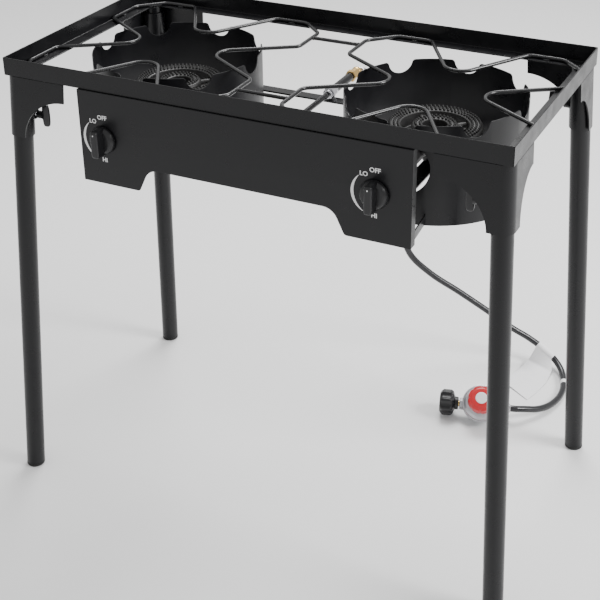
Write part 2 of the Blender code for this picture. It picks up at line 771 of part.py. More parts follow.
block(
    "tee_fitting",
    (-TEE_HALF, MANIFOLD_Y - 0.009, VALVE_Z - 0.009),
    (TEE_HALF, MANIFOLD_Y + 0.012, VALVE_Z + 0.009),
    BRASS,
)
pipe_start = MANIFOLD_Y + 0.012 + GAP
turned(
    "rear_pipe",
    [(0, PIPE_RADIUS), (UNION_Y - pipe_start - GAP, PIPE_RADIUS)],
    (0, pipe_start, VALVE_Z),
    (0, 1, 0),
    FRAME_PAINT,
    12,
)
union_profile = [(0, 0.0075), (0.006, 0.0075), (0.007, 0.0105), (0.019, 0.0105), (INLET_Y - UNION_Y, 0.0085)]
turned("pipe_union", union_profile, (0, UNION_Y, VALVE_Z), (0, 1, 0), ZINC, 6, round_shading=False)
turned(
    "inlet_tube",
    [(0, INLET_RADIUS), (FITTING_Y - INLET_Y - 2 * GAP, INLET_RADIUS)],
    (0, INLET_Y + GAP, VALVE_Z),
    (0, 1, 0),
    FRAME_PAINT,
    16,
)


def make_inlet_fitting():
    """A brass elbow: a hexagon and stub on the tube, a ball at the bend and a stub for the hose's nut."""
    ball_radius = 0.0086
    straight = [(0, 0.0100), (0.010, 0.0100), (0.011, 0.0080), (ELBOW.y - FITTING_Y, 0.0080)]
    start = (0, FITTING_Y, VALVE_Z)
    fitting = turned("inlet_fitting", straight, start, (0, 1, 0), BRASS, 12, round_shading=False)
    ball = []
    for i in range(1, 8):
        turn = math.pi * i / 8
        ball.append((-ball_radius * math.cos(turn), ball_radius * math.sin(turn)))
    tools = [
        turned("inlet_ball", ball, ELBOW, INLET_DIP, BRASS, 16),
        turned("inlet_stub", [(0, 0.0070), (ELBOW_REACH, 0.0070)], ELBOW, INLET_DIP, BRASS, 12),
    ]
    return apply_boolean(fitting, "UNION", tools)


make_inlet_fitting()

CROSS_BAR_Y = [0.094, 0.099, 0.104, 0.109, 0.114]
CROSS_BAR_TOP = VALVE_Z - 0.0105 - GAP
cross_outline = []
for end, ys in ((1, CROSS_BAR_Y), (-1, reversed(CROSS_BAR_Y))):
    for y in ys:
        wall = math.sqrt((GUARD_RADIUS + GAP) ** 2 - y**2) + GAP
        cross_outline.append((end * (CELL_X - wall), y))
prism("cross_bar", cross_outline, CROSS_BAR_TOP - 0.003, CROSS_BAR_TOP, level, FRAME_PAINT)


# Gas hose: from the inlet it drops behind the stand to the ground, and turns back to the regulator

NUT_LENGTH = 0.016
SLEEVE_LENGTH = 0.026
NUT_START = ELBOW + INLET_DIP * (ELBOW_REACH + GAP)
HOSE_START = NUT_START + INLET_DIP * (NUT_LENGTH + SLEEVE_LENGTH + GAP)
FLOW = Vector((0.964, 0.266, 0)).normalized()  # from the tank nut towards the hose
TILT = math.radians(52)
KNOB_AXIS = Vector((FLOW.y * math.cos(TILT), -FLOW.x * math.cos(TILT), math.sin(TILT)))
PORT = Vector((0.2438, 0.2337, 0.0265))  # where the regulator's through axis meets its knob's axis
REGULATOR = PORT + KNOB_AXIS * 0.012
OUTLET_REACH = 0.052
HOSE_END = PORT + FLOW * (OUTLET_REACH + GAP)
HOSE_ROUTE = [
    (0.002, 0.2930, 0.6065),
    (0.005, 0.3165, 0.5830),
    (0.009, 0.3360, 0.5500),
    (0.013, 0.3490, 0.508),
    (0.017, 0.3560, 0.460),
    (0.0205, 0.3585, 0.412),
    (0.023, 0.359, 0.370),
    (0.029, 0.3585, 0.300),
    (0.043, 0.365, 0.235),
    (0.081, 0.383, 0.189),
    (0.131, 0.409, 0.147),
    (0.182, 0.431, 0.106),
    (0.2305, 0.4455, 0.0705),
    (0.262, 0.4545, 0.0515),
    (0.291, 0.4575, 0.034),
    (0.316, 0.4515, 0.0205),
    (0.3360, 0.4345, 0.0120),
    (0.349, 0.4100, 0.0080),
    (0.3570, 0.381, 0.0066),
    (0.3580, 0.346, 0.0066),
    (0.3500, 0.311, 0.0092),
    (0.3355, 0.2835, 0.0145),
    (0.3170, 0.2630, 0.0220),
]


def smooth_route(route, spacing):
    """Points at an even spacing along a smooth curve through the route's points."""
    ends = [route[0] * 2 - route[1]] + route + [route[-1] * 2 - route[-2]]
    fine = []
    for before, a, b, after in zip(ends, ends[1:], ends[2:], ends[3:]):
        for step in range(12):
            t = step / 12
            one = a * 2 + (b - before) * t
            two = (before * 2 - a * 5 + b * 4 - after) * t**2
            three = (a * 3 - before - b * 3 + after) * t**3
            fine.append((one + two + three) / 2)
    fine.append(route[-1])
    length = sum((b - a).length for a, b in zip(fine, fine[1:]))
    count = round(length / spacing)
    points, travelled, wanted = [fine[0]], 0, length / count
    for a, b in zip(fine, fine[1:]):
        run = (b - a).length
        while travelled + run >= wanted and len(points) < count:
            points.append(a.lerp(b, (wanted - travelled) / run))
            wanted += length / count
        travelled += run
    points.append(fine[-1])
    return points


lead_out = HOSE_START + INLET_DIP * 0.010
lead_in = HOSE_END + FLOW * 0.010
middle_route = smooth_route([lead_out] + [Vector(point) for point in HOSE_ROUTE] + [lead_in], 0.026)
wire("gas_hose", [HOSE_START] + middle_route + [HOSE_END], False, HOSE_RADIUS, HOSE_RUBBER, 2)


def hose_stretch(near):
    """The start and direction of the straight stretch of hose whose middle is nearest a point."""
    stretches = list(zip(middle_route, middle_route[1:]))
    start, end = min(stretches, key=lambda pair: ((pair[0] + pair[1]) / 2 - Vector(near)).length)
    return (start + end) / 2, (end - start).normalized()


def make_band():
    """A printed band round the hose."""
    middle, along = hose_stretch((0.3535, 0.396, 0.007))
    profile = [(0, HOSE_RADIUS + GAP), (0, 0.0070), (0.011, 0.0070), (0.011, HOSE_RADIUS + GAP)]
    return turned("hose_band", profile, middle - along * 0.0055, along, PAPER, 20, hollow=True)


def make_tag():
    """A blank paper label: one strip looped round the hose, its free end fallen flat on the ground."""
    middle, along = hose_stretch((0.298, 0.4565, 0.030))
    down = Vector((0, 0, -1))
    down = (down - along * down.dot(along)).normalized()
    front = down.cross(along)
    half = 0.011
    rows = [
        (Vector((0.241, 0.363, 0.0008)), Vector((0.3045, 0.322, 0.0008)), Vector((0, 0, 1))),
        (Vector((0.262, 0.422, 0.0010)), Vector((0.321, 0.392, 0.0010)), Vector((0, 0, 1))),
        (Vector((0.274, 0.446, 0.0070)), Vector((0.320, 0.431, 0.0040)), Vector((0, -0.5, 0.8))),
    ]
    for degrees in range(0, 301, 20):
        turn = math.radians(degrees)
        outward = front * math.cos(turn) - down * math.sin(turn)
        centre = middle + outward * (HOSE_RADIUS + 0.0006)
        rows.append((centre - along * half, centre + along * half, outward))
    rings = []
    for left, right, normal in rows:
        lift = normal.normalized() * 0.0003
        rings.append([left - lift, right - lift, right + lift, left + lift])
    bm = bmesh.new()
    loft(bm, rings, False)
    return object_from(bm, "hose_tag", PAPER)


make_band()
make_tag()

nut_profile = [
    (0, 0.0095),
    (0.0010, 0.0105),
    (NUT_LENGTH - 0.001, 0.0105),
    (NUT_LENGTH, 0.0080),
    (NUT_LENGTH + 0.003, 0.0080),
    (NUT_LENGTH + SLEEVE_LENGTH, 0.0080),
]
turned("hose_nut", nut_profile, NUT_START, INLET_DIP, ZINC, 12)


# Regulator: a round diaphragm body on its rim, with a hose tail, a nipple to the tank and a hand nut

BODY_RADIUS = 0.035
NECK_REACH = 0.048


def make_regulator():
    body_profile = [
        (-0.028, 0.013),
        (-0.026, 0.019),
        (-0.012, 0.024),
        (-0.004, 0.033),
        (-0.003, BODY_RADIUS),
        (0.003, BODY_RADIUS),
        (0.004, 0.033),
        (0.010, 0.029),
        (0.014, 0.019),
    ]
    body = turned("regulator_body", body_profile, REGULATOR, KNOB_AXIS, ZINC, 28)
    tail_profile = [(0, 0.0095), (0.034, 0.0095), (0.035, 0.0085), (OUTLET_REACH, 0.0082)]
    tail = turned("regulator_tail", tail_profile, PORT, FLOW, ZINC, 14)
    neck_profile = [
        (0, 0.0110),
        (NECK_REACH - 0.009, 0.0110),
        (NECK_REACH - 0.008, 0.0055),
        (NECK_REACH + 0.004, 0.0055),
        (NECK_REACH + 0.005, 0.0085),
        (NECK_REACH + 0.009, 0.0085),
        (NECK_REACH + 0.010, 0.0055),
        (NECK_REACH + 0.024, 0.0050),
        (NECK_REACH + 0.028, 0.0030),
    ]
    neck = turned("regulator_neck", neck_profile, PORT, -FLOW, ZINC, 12)
    return apply_boolean(body, "UNION", [tail, neck])


def make_regulator_knob():
    """The red adjusting knob, with eight shallow scallops round its skirt."""
    start = REGULATOR + KNOB_AXIS * (0.014 + GAP)
    side, up = axis_frame(KNOB_AXIS)
    rings = []
    lobes, steps = 8, 32
    stations = ((0, 0.0235, 0.0008), (0.010, 0.0245, 0.0016), (0.018, 0.0225, 0.0016), (0.021, 0.018, 0))
    for along, radius, depth in stations:
        ring = []
        for i in range(steps):
            turn = 2 * math.pi * i / steps
            reach = radius + depth * math.cos(lobes * turn)
            ring.append(start + KNOB_AXIS * along + (side * math.cos(turn) + up * math.sin(turn)) * reach)
        rings.append(ring)
    bm = bmesh.new()
    loft(bm, rings, False)
    return shade_round(object_from(bm, "regulator_knob", RED_PLASTIC, start))


def make_tank_nut():
    """The hand nut: a collar on the nipple's neck, and a ribbed cup open towards the tank."""
    start = PORT - FLOW * (NECK_REACH - 0.006)
    side, up = axis_frame(-FLOW)
    ribs, steps = 8, 48
    profile = [
        (0, 0.0115, 0),
        (0.006, 0.0115, 0),
        (0.009, 0.0190, 0.0012),
        (0.014, 0.0215, 0.0020),
        (0.028, 0.0215, 0.0020),
        (0.034, 0.0175, 0),
        (0.034, 0.0140, 0),
        (0.018, 0.0135, 0),
        (0.018, 0.0095, 0),
        (0.0090, 0.0095, 0),
        (0.0080, 0.0060, 0),
        (0, 0.0060, 0),
    ]
    rings = []
    for along, radius, depth in profile:
        ring = []
        for i in range(steps):
            turn = 2 * math.pi * i / steps
            reach = radius + depth * max(-0.5, math.cos(ribs * turn))
            ring.append(start - FLOW * along + (side * math.cos(turn) + up * math.sin(turn)) * reach)
        rings.append(ring)
    bm = bmesh.new()
    loft(bm, rings, True)
    return shade_round(object_from(bm, "tank_nut", KNOB_PLASTIC, start))


make_regulator()
make_regulator_knob()
make_tank_nut()
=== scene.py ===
"""Two-burner propane stove stand: its finished look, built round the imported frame.

The sections follow the stand as it is put together. Metres, +Z up, and the control panel is towards -Y.
"""

from math import asin, atan2, copysign, cos, pi, radians, sin, sqrt, tan

import bmesh
import bpy
from mathutils import Matrix, Vector


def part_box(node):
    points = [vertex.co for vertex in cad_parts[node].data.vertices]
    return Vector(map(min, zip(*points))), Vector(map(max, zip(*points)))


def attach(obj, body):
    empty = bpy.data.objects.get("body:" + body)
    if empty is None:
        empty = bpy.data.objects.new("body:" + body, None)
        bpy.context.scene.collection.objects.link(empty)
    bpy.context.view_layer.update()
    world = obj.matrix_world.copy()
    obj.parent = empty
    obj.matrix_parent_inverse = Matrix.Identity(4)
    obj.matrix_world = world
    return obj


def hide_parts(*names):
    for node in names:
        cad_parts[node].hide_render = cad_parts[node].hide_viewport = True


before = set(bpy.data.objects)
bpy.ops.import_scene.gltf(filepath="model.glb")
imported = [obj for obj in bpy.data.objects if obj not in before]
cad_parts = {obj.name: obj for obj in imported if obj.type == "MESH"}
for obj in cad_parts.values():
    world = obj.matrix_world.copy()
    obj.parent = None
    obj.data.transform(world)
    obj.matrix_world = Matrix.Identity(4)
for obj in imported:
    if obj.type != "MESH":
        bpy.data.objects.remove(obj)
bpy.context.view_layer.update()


# Camera
# A long lens looks down on the stand from the front right. Its axis points at the middle of the stand, and
# its view is shifted down towards the feet.


def placed(name, data):
    """A new object in the scene, at the origin."""
    thing = bpy.data.objects.new(name, data)
    bpy.context.collection.objects.link(thing)
    return thing


TURN, LOOK_DOWN, ROLL = (radians(degrees) for degrees in (26.71, 26.33, -0.84))
backward = Vector(
    (sin(TURN) * cos(LOOK_DOWN), -cos(TURN) * cos(LOOK_DOWN), sin(LOOK_DOWN))
)
level_right = Vector((cos(TURN), sin(TURN), 0))
level_up = backward.cross(level_right)
camera_right = level_right * cos(ROLL) + level_up * sin(ROLL)
camera_up = level_up * cos(ROLL) - level_right * sin(ROLL)

camera_data = bpy.data.cameras.new("camera")
camera_data.sensor_width = 36
camera_data.lens = 75.24
camera_data.shift_y = -1 / 6
camera = placed("camera", camera_data)
camera_turn = Matrix((camera_right, camera_up, backward)).transposed().to_4x4()
camera.matrix_world = Matrix.Translation((0.8019, -1.6034, 1.3887)) @ camera_turn
bpy.context.scene.camera = camera


# Gas hose
# Smooth black rubber hose, 12 mm across. It leaves the brass inlet at the back, hangs to the ground and bends
# back there to the regulator. Its stretches lie where the frame's plain hose does.


def surface(name, colour, shade, roughness, metallic=0.0, grain=40, speckle=700, bump=0.00006, **options):
    """A finish that wanders between two colours, with a fine bump. options: spread, coat, gloss."""
    material = bpy.data.materials.new(name)
    material.use_nodes = True
    tree = material.node_tree
    link = tree.links.new
    shader = tree.nodes["Principled BSDF"]
    shader.inputs["Metallic"].default_value = metallic
    shader.inputs["Specular IOR Level"].default_value = options.get("gloss", 0.5)
    shader.inputs["Coat Weight"].default_value = options.get("coat", 0)
    shader.inputs["Coat Roughness"].default_value = 0.25
    place = tree.nodes.new("ShaderNodeTexCoord")

    def noise(scale, detail):
        node = tree.nodes.new("ShaderNodeTexNoise")
        node.inputs["Scale"].default_value = scale
        node.inputs["Detail"].default_value = detail
        link(place.outputs["Object"], node.inputs["Vector"])
        return node.outputs["Fac"]

    broad, fine = noise(grain, 4), noise(speckle, 2)
    mix = tree.nodes.new("ShaderNodeMix")
    mix.data_type = "RGBA"
    mix.inputs[6].default_value = (*colour, 1)
    mix.inputs[7].default_value = (*shade, 1)
    link(broad, mix.inputs[0])
    link(mix.outputs[2], shader.inputs["Base Color"])
    spread = options.get("spread", 0.06)
    limits = {"From Min": 0.3, "From Max": 0.7, "To Min": roughness - spread, "To Max": roughness + spread}
    rough = tree.nodes.new("ShaderNodeMapRange")
    for socket_name, value in limits.items():
        rough.inputs[socket_name].default_value = value
    link(broad, rough.inputs["Value"])
    link(rough.outputs["Result"], shader.inputs["Roughness"])
    relief = tree.nodes.new("ShaderNodeBump")
    relief.inputs["Distance"].default_value = bump
    link(fine, relief.inputs["Height"])
    link(relief.outputs["Normal"], shader.inputs["Normal"])
    return material


hose_rubber = surface("hose_rubber", (0.011, 0.011, 0.013), (0.018, 0.018, 0.02), 0.27, grain=25, bump=3e-5)

HOSE_RADIUS = 0.006
CLEARANCE = 0.0003
pipe_low, pipe_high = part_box("rear_pipe")
ELBOW = Vector((0, 0.208, (pipe_low.z + pipe_high.z) / 2))  # where the brass inlet bends
DIP = radians(24)
INLET_DIP = Vector((0, cos(DIP), -sin(DIP)))  # the way that the hose leaves the elbow
ELBOW_REACH = 0.012
NUT_START = ELBOW + INLET_DIP * (ELBOW_REACH + CLEARANCE)
NUT_LENGTH, SLEEVE_LENGTH = 0.016, 0.026
HOSE_LEAD = 0.01  # the straight run out of each end
HOSE_START = NUT_START + INLET_DIP * (NUT_LENGTH + SLEEVE_LENGTH + CLEARANCE)
FLOW = Vector((0.964, 0.266, 0)).normalized()  # along the regulator, from the tank towards the hose
PORT = Vector((0.2438, 0.2337, 0.0265))  # where the regulator's through axis meets its knob's axis
TAIL_REACH = 0.052
HOSE_END = PORT + FLOW * (TAIL_REACH + CLEARANCE)
HOSE_ROUTE = [
    (0.002, 0.293, 0.6065),
    (0.005, 0.3165, 0.583),
    (0.009, 0.336, 0.55),
    (0.013, 0.349, 0.508),
    (0.017, 0.356, 0.46),
    (0.0205, 0.3585, 0.412),
    (0.023, 0.359, 0.37),
    (0.029, 0.3585, 0.3),
    (0.043, 0.365, 0.235),
    (0.081, 0.383, 0.189),
    (0.131, 0.409, 0.147),
    (0.182, 0.431, 0.106),
    (0.2305, 0.4455, 0.0705),
    (0.262, 0.4545, 0.0515),
    (0.291, 0.4575, 0.034),
    (0.316, 0.4515, 0.0205),
    (0.336, 0.4345, 0.012),
    (0.349, 0.41, 0.008),
    (0.357, 0.381, 0.0066),
    (0.358, 0.346, 0.0066),
    (0.35, 0.311, 0.0092),
    (0.3355, 0.2835, 0.0145),
    (0.317, 0.263, 0.022),
]


def smooth_route(route, steps):
    """Points on a smooth curve through every point of the route."""
    ends = [route[0] * 2 - route[1]] + route + [route[-1] * 2 - route[-2]]
    points = []
    for before, a, b, after in zip(ends, ends[1:], ends[2:], ends[3:]):
        for step in range(steps):
            t = step / steps
            one = a * 2 + (b - before) * t
            two = (before * 2 - a * 5 + b * 4 - after) * t**2
            three = (a * 3 - before - b * 3 + after) * t**3
            points.append((one + two + three) / 2)
    return points + [route[-1]]


def wire(name, points, closed, radius, material):
    """Round wire or hose bent along a line of points."""
    curve = bpy.data.curves.new(name, "CURVE")
    curve.dimensions = "3D"
    curve.bevel_depth = radius
    curve.bevel_resolution = 6
    curve.use_fill_caps = True
    spline = curve.splines.new("POLY")
    spline.points.add(len(points) - 1)
    for spline_point, point in zip(spline.points, points):
        spline_point.co = (*point, 1)
    spline.use_cyclic_u = closed
    curve.materials.append(material)
    return placed(name, curve)


lead_out = HOSE_START + INLET_DIP * HOSE_LEAD
lead_in = HOSE_END + FLOW * HOSE_LEAD
hose_middle = smooth_route([lead_out] + [Vector(point) for point in HOSE_ROUTE] + [lead_in], 6)
hose = wire("rubber_hose", [HOSE_START] + hose_middle + [HOSE_END], False, HOSE_RADIUS, hose_rubber)
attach(hose, "stand")
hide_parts("gas_hose")


# Hose band and paper label
# A white band, drawn plain without its print, pushed over the hose, and a blank paper label looped round it.
# The label's free end has fallen onto the ground and lies there with a soft curl.

paper = surface("paper", (0.86, 0.86, 0.87), (0.8, 0.8, 0.81), 0.62, grain=30, speckle=1500, bump=0.00004)
white_sleeve = surface("white_sleeve", (0.85, 0.85, 0.85), (0.78, 0.78, 0.78), 0.4, grain=120)


def loft(bm, rings, closed):
    """Joins rings of points with quads. closed joins the last ring to the first, and caps no end."""
    loops = [[bm.verts.new(point) for point in ring] for ring in rings]
    pairs = list(zip(loops, loops[1:]))
    if closed:
        pairs.append((loops[-1], loops[0]))
    else:
        bm.faces.new(loops[0])
        bm.faces.new(loops[-1])
    for low, high in pairs:
        for i, vert in enumerate(low):
            after = (i + 1) % len(low)
            bm.faces.new((vert, low[after], high[after], high[i]))


def square_to(axis):
    """Two unit vectors square to an axis."""
    side = axis.cross(Vector((0, 0, 1)))
    if side.length < 0.01:
        side = Vector((1, 0, 0))
    side.normalize()
    return side, axis.cross(side)


def turn(bm, profile, start, axis, steps=48, hollow=False, ripple=None):
    """Adds a turned solid: profile is (distance along the axis, radius). ripple(angle) scales a radius."""
    axis = Vector(axis).normalized()
    side, up = square_to(axis)
    rings = []
    for along, radius in profile:
        ring = []
        for i in range(steps):
            angle = 2 * pi * i / steps
            reach = radius * (ripple(angle) if ripple else 1)
            offset = (side * cos(angle) + up * sin(angle)) * reach
            ring.append(Vector(start) + axis * along + offset)
        rings.append(ring)
    loft(bm, rings, hollow)


def soften(bm, width, segments=2, sharper=30):
    """Rounds a solid's sharp edges."""
    limit = radians(sharper)
    edges = [edge for edge in bm.edges if edge.is_manifold and edge.calc_face_angle(0) > limit]
    bmesh.ops.bevel(bm, geom=edges, offset=width, segments=segments, affect="EDGES", clamp_overlap=True)


def plain_mesh(name, bm):
    """Keeps an edited mesh under a name and frees the edit."""
    mesh = bpy.data.meshes.new(name)
    bm.to_mesh(mesh)
    bm.free()
    return mesh


def finished(name, bm, material, stands_for=(), body="stand", smooth=32):
    """Makes a mesh into a piece that rides on a body and stands for plain nodes of the frame."""
    bmesh.ops.recalc_face_normals(bm, faces=bm.faces)
    mesh = plain_mesh(name, bm)
    mesh.materials.append(material)
    mesh.shade_smooth()
    mesh.set_sharp_from_angle(angle=radians(smooth))
    piece = placed(name, mesh)
    weighted = piece.modifiers.new("even_shading", "WEIGHTED_NORMAL")
    weighted.keep_sharp = True
    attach(piece, body)
    if stands_for:
        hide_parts(*stands_for)
    return piece


def turned(name, start, axis, solids, material, stands_for=(), body="stand", smooth=32):
    """A piece made of turned solids, which are (profile, steps) pairs with one start and axis."""
    bm = bmesh.new()
    for profile, steps in solids:
        turn(bm, profile, start, axis, steps)
    return finished(name, bm, material, stands_for, body, smooth)


def nearest_stretch(place, span):
    """Points of the hose's middle line, over a span centred on the point nearest a place."""
    middle = min(range(len(hose_middle)), key=lambda i: (hose_middle[i] - Vector(place)).length)
    return hose_middle[middle - span : middle + span + 1]


def sleeve(bm, line, inner, outer):
    """A short tube that follows the hose."""
    rings = []
    for radius, path in ((inner, line), (outer, line[::-1])):
        for i, centre in enumerate(path):
            ahead = path[min(i + 1, len(path) - 1)] - path[max(i - 1, 0)]
            side, up = square_to(ahead.normalized() if radius == inner else -ahead.normalized())
            turns = (2 * pi * k / 32 for k in range(32))
            rings.append([centre + (side * cos(t) + up * sin(t)) * radius for t in turns])
    loft(bm, rings, True)


band_mesh = bmesh.new()
sleeve(band_mesh, nearest_stretch((0.3535, 0.396, 0.007), 1), HOSE_RADIUS + 0.0001, HOSE_RADIUS + 0.0007)
hose_band = finished("white_hose_band", band_mesh, white_sleeve, ["hose_band"])

LABEL_HALF, LABEL_SHEET = 0.019, 0.00024
LABEL_ROWS, LABEL_ACROSS = 12, 12
LABEL_LEFT = [(0.241, 0.363, 0.003), (0.252, 0.388, 0.0012), (0.262, 0.42, 0.0022), (0.271, 0.4435, 0.011)]
LABEL_RIGHT = [(0.3045, 0.322, 0.0012), (0.315, 0.356, 0.001), (0.321, 0.392, 0.0015), (0.321, 0.429, 0.006)]
label_line = nearest_stretch((0.298, 0.4565, 0.03), 4)
label_centre = (label_line[0] + label_line[-1]) / 2
label_along = (label_line[-1] - label_line[0]).normalized()
label_down = Vector((0, 0, -1))
label_down = (label_down - label_along * label_down.dot(label_along)).normalized()
label_front = label_down.cross(label_along)


def label_edges(t):
    """Points on the label's left and right edge, t from 0 at the free end to 1 at the hose."""
    step = min(int(t * 3), 2)
    part = t * 3 - step
    return [Vector(edge[step]).lerp(Vector(edge[step + 1]), part) for edge in (LABEL_LEFT, LABEL_RIGHT)]


label_rows = []
for i in range(LABEL_ROWS + 1):
    t = i / LABEL_ROWS
    normal = Vector((0, -0.1 - 0.8 * t**3, 1)).normalized()
    label_rows.append((*label_edges(t), normal, 0.0012 * sin(pi * t)))
for degrees in range(0, 336, 12):
    angle = radians(degrees)
    outward = label_front * cos(angle) - label_down * sin(angle)
    centre = label_centre + outward * (HOSE_RADIUS + 0.0009)
    label_rows.append((centre - label_along * LABEL_HALF, centre + label_along * LABEL_HALF, outward, 0))
label_rings = []
for left_end, right_end, normal, bow in label_rows:
    ring = []
    for face in (-1, 1):
        across = range(LABEL_ACROSS + 1)
        for k in across if face < 0 else reversed(across):
            t = k / LABEL_ACROSS
            lift = bow * sin(pi * t) + face * LABEL_SHEET / 2
            ring.append(left_end.lerp(right_end, t) + normal * lift)
    label_rings.append(ring)
label_mesh = bmesh.new()
loft(label_mesh, label_rings, False)
hose_label = finished("paper_label", label_mesh, paper, ["hose_tag"], smooth=60)


# Frame rails
# Four lengths of angle iron, mitred and welded at the corners and powder coated satin black. Each weld is a
# short row of overlapping puddles down the inside of its corner.

powder_coat = surface(
    "powder_coat", (0.005, 0.005, 0.0058), (0.0075, 0.0075, 0.0085), 0.3, speckle=900, bump=0.00008, gloss=0.3
)


def copy_of(*nodes):
    """A clean mesh of one or more of the frame's nodes."""
    bm = bmesh.new()
    for node in nodes:
        bm.from_mesh(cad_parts[node].data)
    bmesh.ops.remove_doubles(bm, verts=bm.verts, dist=0.00001)
    bmesh.ops.dissolve_limit(bm, angle_limit=radians(0.5), verts=bm.verts, edges=bm.edges)
    return bm


def new_tree(name, inputs):
    """A node tree that makes a mesh, with the named inputs, and the nodes at its two ends."""
    tree = bpy.data.node_groups.new(name, "GeometryNodeTree")
    for socket_name, kind in inputs.items():
        tree.interface.new_socket(socket_name, in_out="INPUT", socket_type="NodeSocket" + kind)
    tree.interface.new_socket("Mesh", in_out="OUTPUT", socket_type="NodeSocketGeometry")
    return tree, tree.nodes.new("NodeGroupInput"), tree.nodes.new("NodeGroupOutput")


def repeat(tree, points, shape, paint, size=None):
    """Sets a shape on every point, as real mesh in a material, and gives the result's socket."""
    spread = tree.nodes.new("GeometryNodeInstanceOnPoints")
    plain = tree.nodes.new("GeometryNodeRealizeInstances")
    painted = tree.nodes.new("GeometryNodeSetMaterial")
    tree.links.new(points, spread.inputs["Points"])
    tree.links.new(shape.outputs["Mesh"], spread.inputs["Instance"])
    if size:
        tree.links.new(size, spread.inputs["Scale"])
    tree.links.new(spread.outputs["Instances"], plain.inputs["Geometry"])
    tree.links.new(plain.outputs["Geometry"], painted.inputs["Geometry"])
    tree.links.new(paint, painted.inputs["Material"])
    return painted.outputs["Geometry"]


def beads_tree():
    """Puts a flattened bead of weld on every vertex of the mesh that it is given."""
    inputs = {"Welds": "Geometry", "Bead Radius": "Float", "Material": "Material"}
    tree, given, result = new_tree("weld_beads", inputs)
    bead = tree.nodes.new("GeometryNodeMeshIcoSphere")
    bead.inputs["Subdivisions"].default_value = 2
    tree.links.new(given.outputs["Bead Radius"], bead.inputs["Radius"])
    vary = tree.nodes.new("FunctionNodeRandomValue")
    vary.data_type = "FLOAT_VECTOR"
    vary.inputs["Min"].default_value = (0.8, 0.8, 0.65)
    vary.inputs["Max"].default_value = (1.15, 1.15, 0.9)
    vary.inputs["Seed"].default_value = 7
    beads = repeat(tree, given.outputs["Welds"], bead, given.outputs["Material"], vary.outputs["Value"])
    tree.links.new(beads, result.inputs["Mesh"])
    return tree


def made_mesh(thing):
    """What an object's modifiers or text make, as a plain mesh. The object itself is removed."""
    graph = bpy.context.evaluated_depsgraph_get()
    mesh = bpy.data.meshes.new_from_object(thing.evaluated_get(graph), depsgraph=graph)
    bpy.data.objects.remove(thing)
    return mesh


def grow(name, tree, points, inputs):
    """Runs a tree on a set of points and keeps what it makes as a plain piece."""
    seed_mesh = bpy.data.meshes.new(name + "_points")
    seed_mesh.from_pydata([tuple(point) for point in points], [], [])
    seed = placed(name + "_points", seed_mesh)
    modifier = seed.modifiers.new("grow", "NODES")
    modifier.node_group = tree
    for socket in tree.interface.items_tree:
        if socket.name in inputs:
            modifier[socket.identifier] = inputs[socket.name]
    mesh = made_mesh(seed)
    mesh.name = name
    mesh.shade_smooth()
    piece = placed(name, mesh)
    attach(piece, "stand")


for rail in ("front", "rear", "left", "right"):
    rail_mesh = copy_of("rail_" + rail)
    soften(rail_mesh, 0.0006)
    finished("angle_rail_" + rail, rail_mesh, powder_coat, ["rail_" + rail])

front_low, front_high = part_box("rail_front")
rim_top, rim_bottom = front_high.z, front_low.z
rail_half_x, rail_half_y = front_high.x, -front_low.y
WELD_INSET = 0.0026
weld_tree = beads_tree()
corner_welds = []
for x_side in (-1, 1):
    for y_side in (-1, 1):
        for i in range(12):
            rise = rim_bottom + 0.003 + i * 0.002
            place = (x_side * (rail_half_x - WELD_INSET), y_side * (rail_half_y - WELD_INSET), rise)
            corner_welds.append(place)
        for i in range(10):
            inward = 0.004 + i * 0.0021
            place = (x_side * (rail_half_x - inward), y_side * (rail_half_y - inward), rim_bottom + 0.002)
            corner_welds.append(place)
beads = {"Bead Radius": 0.0014, "Material": powder_coat}
grow("corner_welds", weld_tree, corner_welds, beads)


# Corner brackets and leg sockets
# Each corner has a bracket of pressed sheet, bent round the leg and cut away in a quarter oval under each
# arm. A strap welded across its inside makes the socket that the leg slides up into.

CORNERS = {"front_left": (-1, -1), "front_right": (1, -1), "rear_right": (1, 1), "rear_left": (-1, 1)}
LEG_RADIUS = 0.0155
SHEET = 0.002


def leg_axis(corner_name, z):
    """A point of a leg's leaning axis, taken from the frame's own leg."""
    signs = CORNERS[corner_name]
    low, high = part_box("leg_" + corner_name)
    share = (high.z - z) / (high.z - low.z)
    point = []
    for axis, sign in enumerate(signs):
        far, near = (low[axis], high[axis]) if sign < 0 else (high[axis], low[axis])
        foot, top = far - sign * LEG_RADIUS, near + sign * LEG_RADIUS
        point.append(top + (foot - top) * share)
    return Vector((*point, z))


def from_axis(corner_name, inward_x, inward_y, z):
    """A point beside a leg's axis, measured towards the middle of the stand."""
    signs = CORNERS[corner_name]
    return leg_axis(corner_name, z) - Vector((signs[0] * inward_x, signs[1] * inward_y, 0))


BEND = LEG_RADIUS + 0.0005 + SHEET
ARM_X, ARM_Y = 0.09, 0.07
ARM_TIP = 0.017
END_DROP, TIP_DROP = 0.058, 0.125
bracket_top = rim_bottom - CLEARANCE
OVAL_STEPS = 28
BEND_STEPS = 12


def bracket_arm(reach):
    """(distance along, drop) down one arm of a bracket, from its end to the leg."""
    stations = []
    for i in range(OVAL_STEPS + 1):
        angle = pi / 2 * i / OVAL_STEPS
        along = reach - (reach - ARM_TIP) * sin(angle)
        stations.append((along, TIP_DROP - (TIP_DROP - END_DROP) * cos(angle)))
    return stations + [(0, TIP_DROP)]


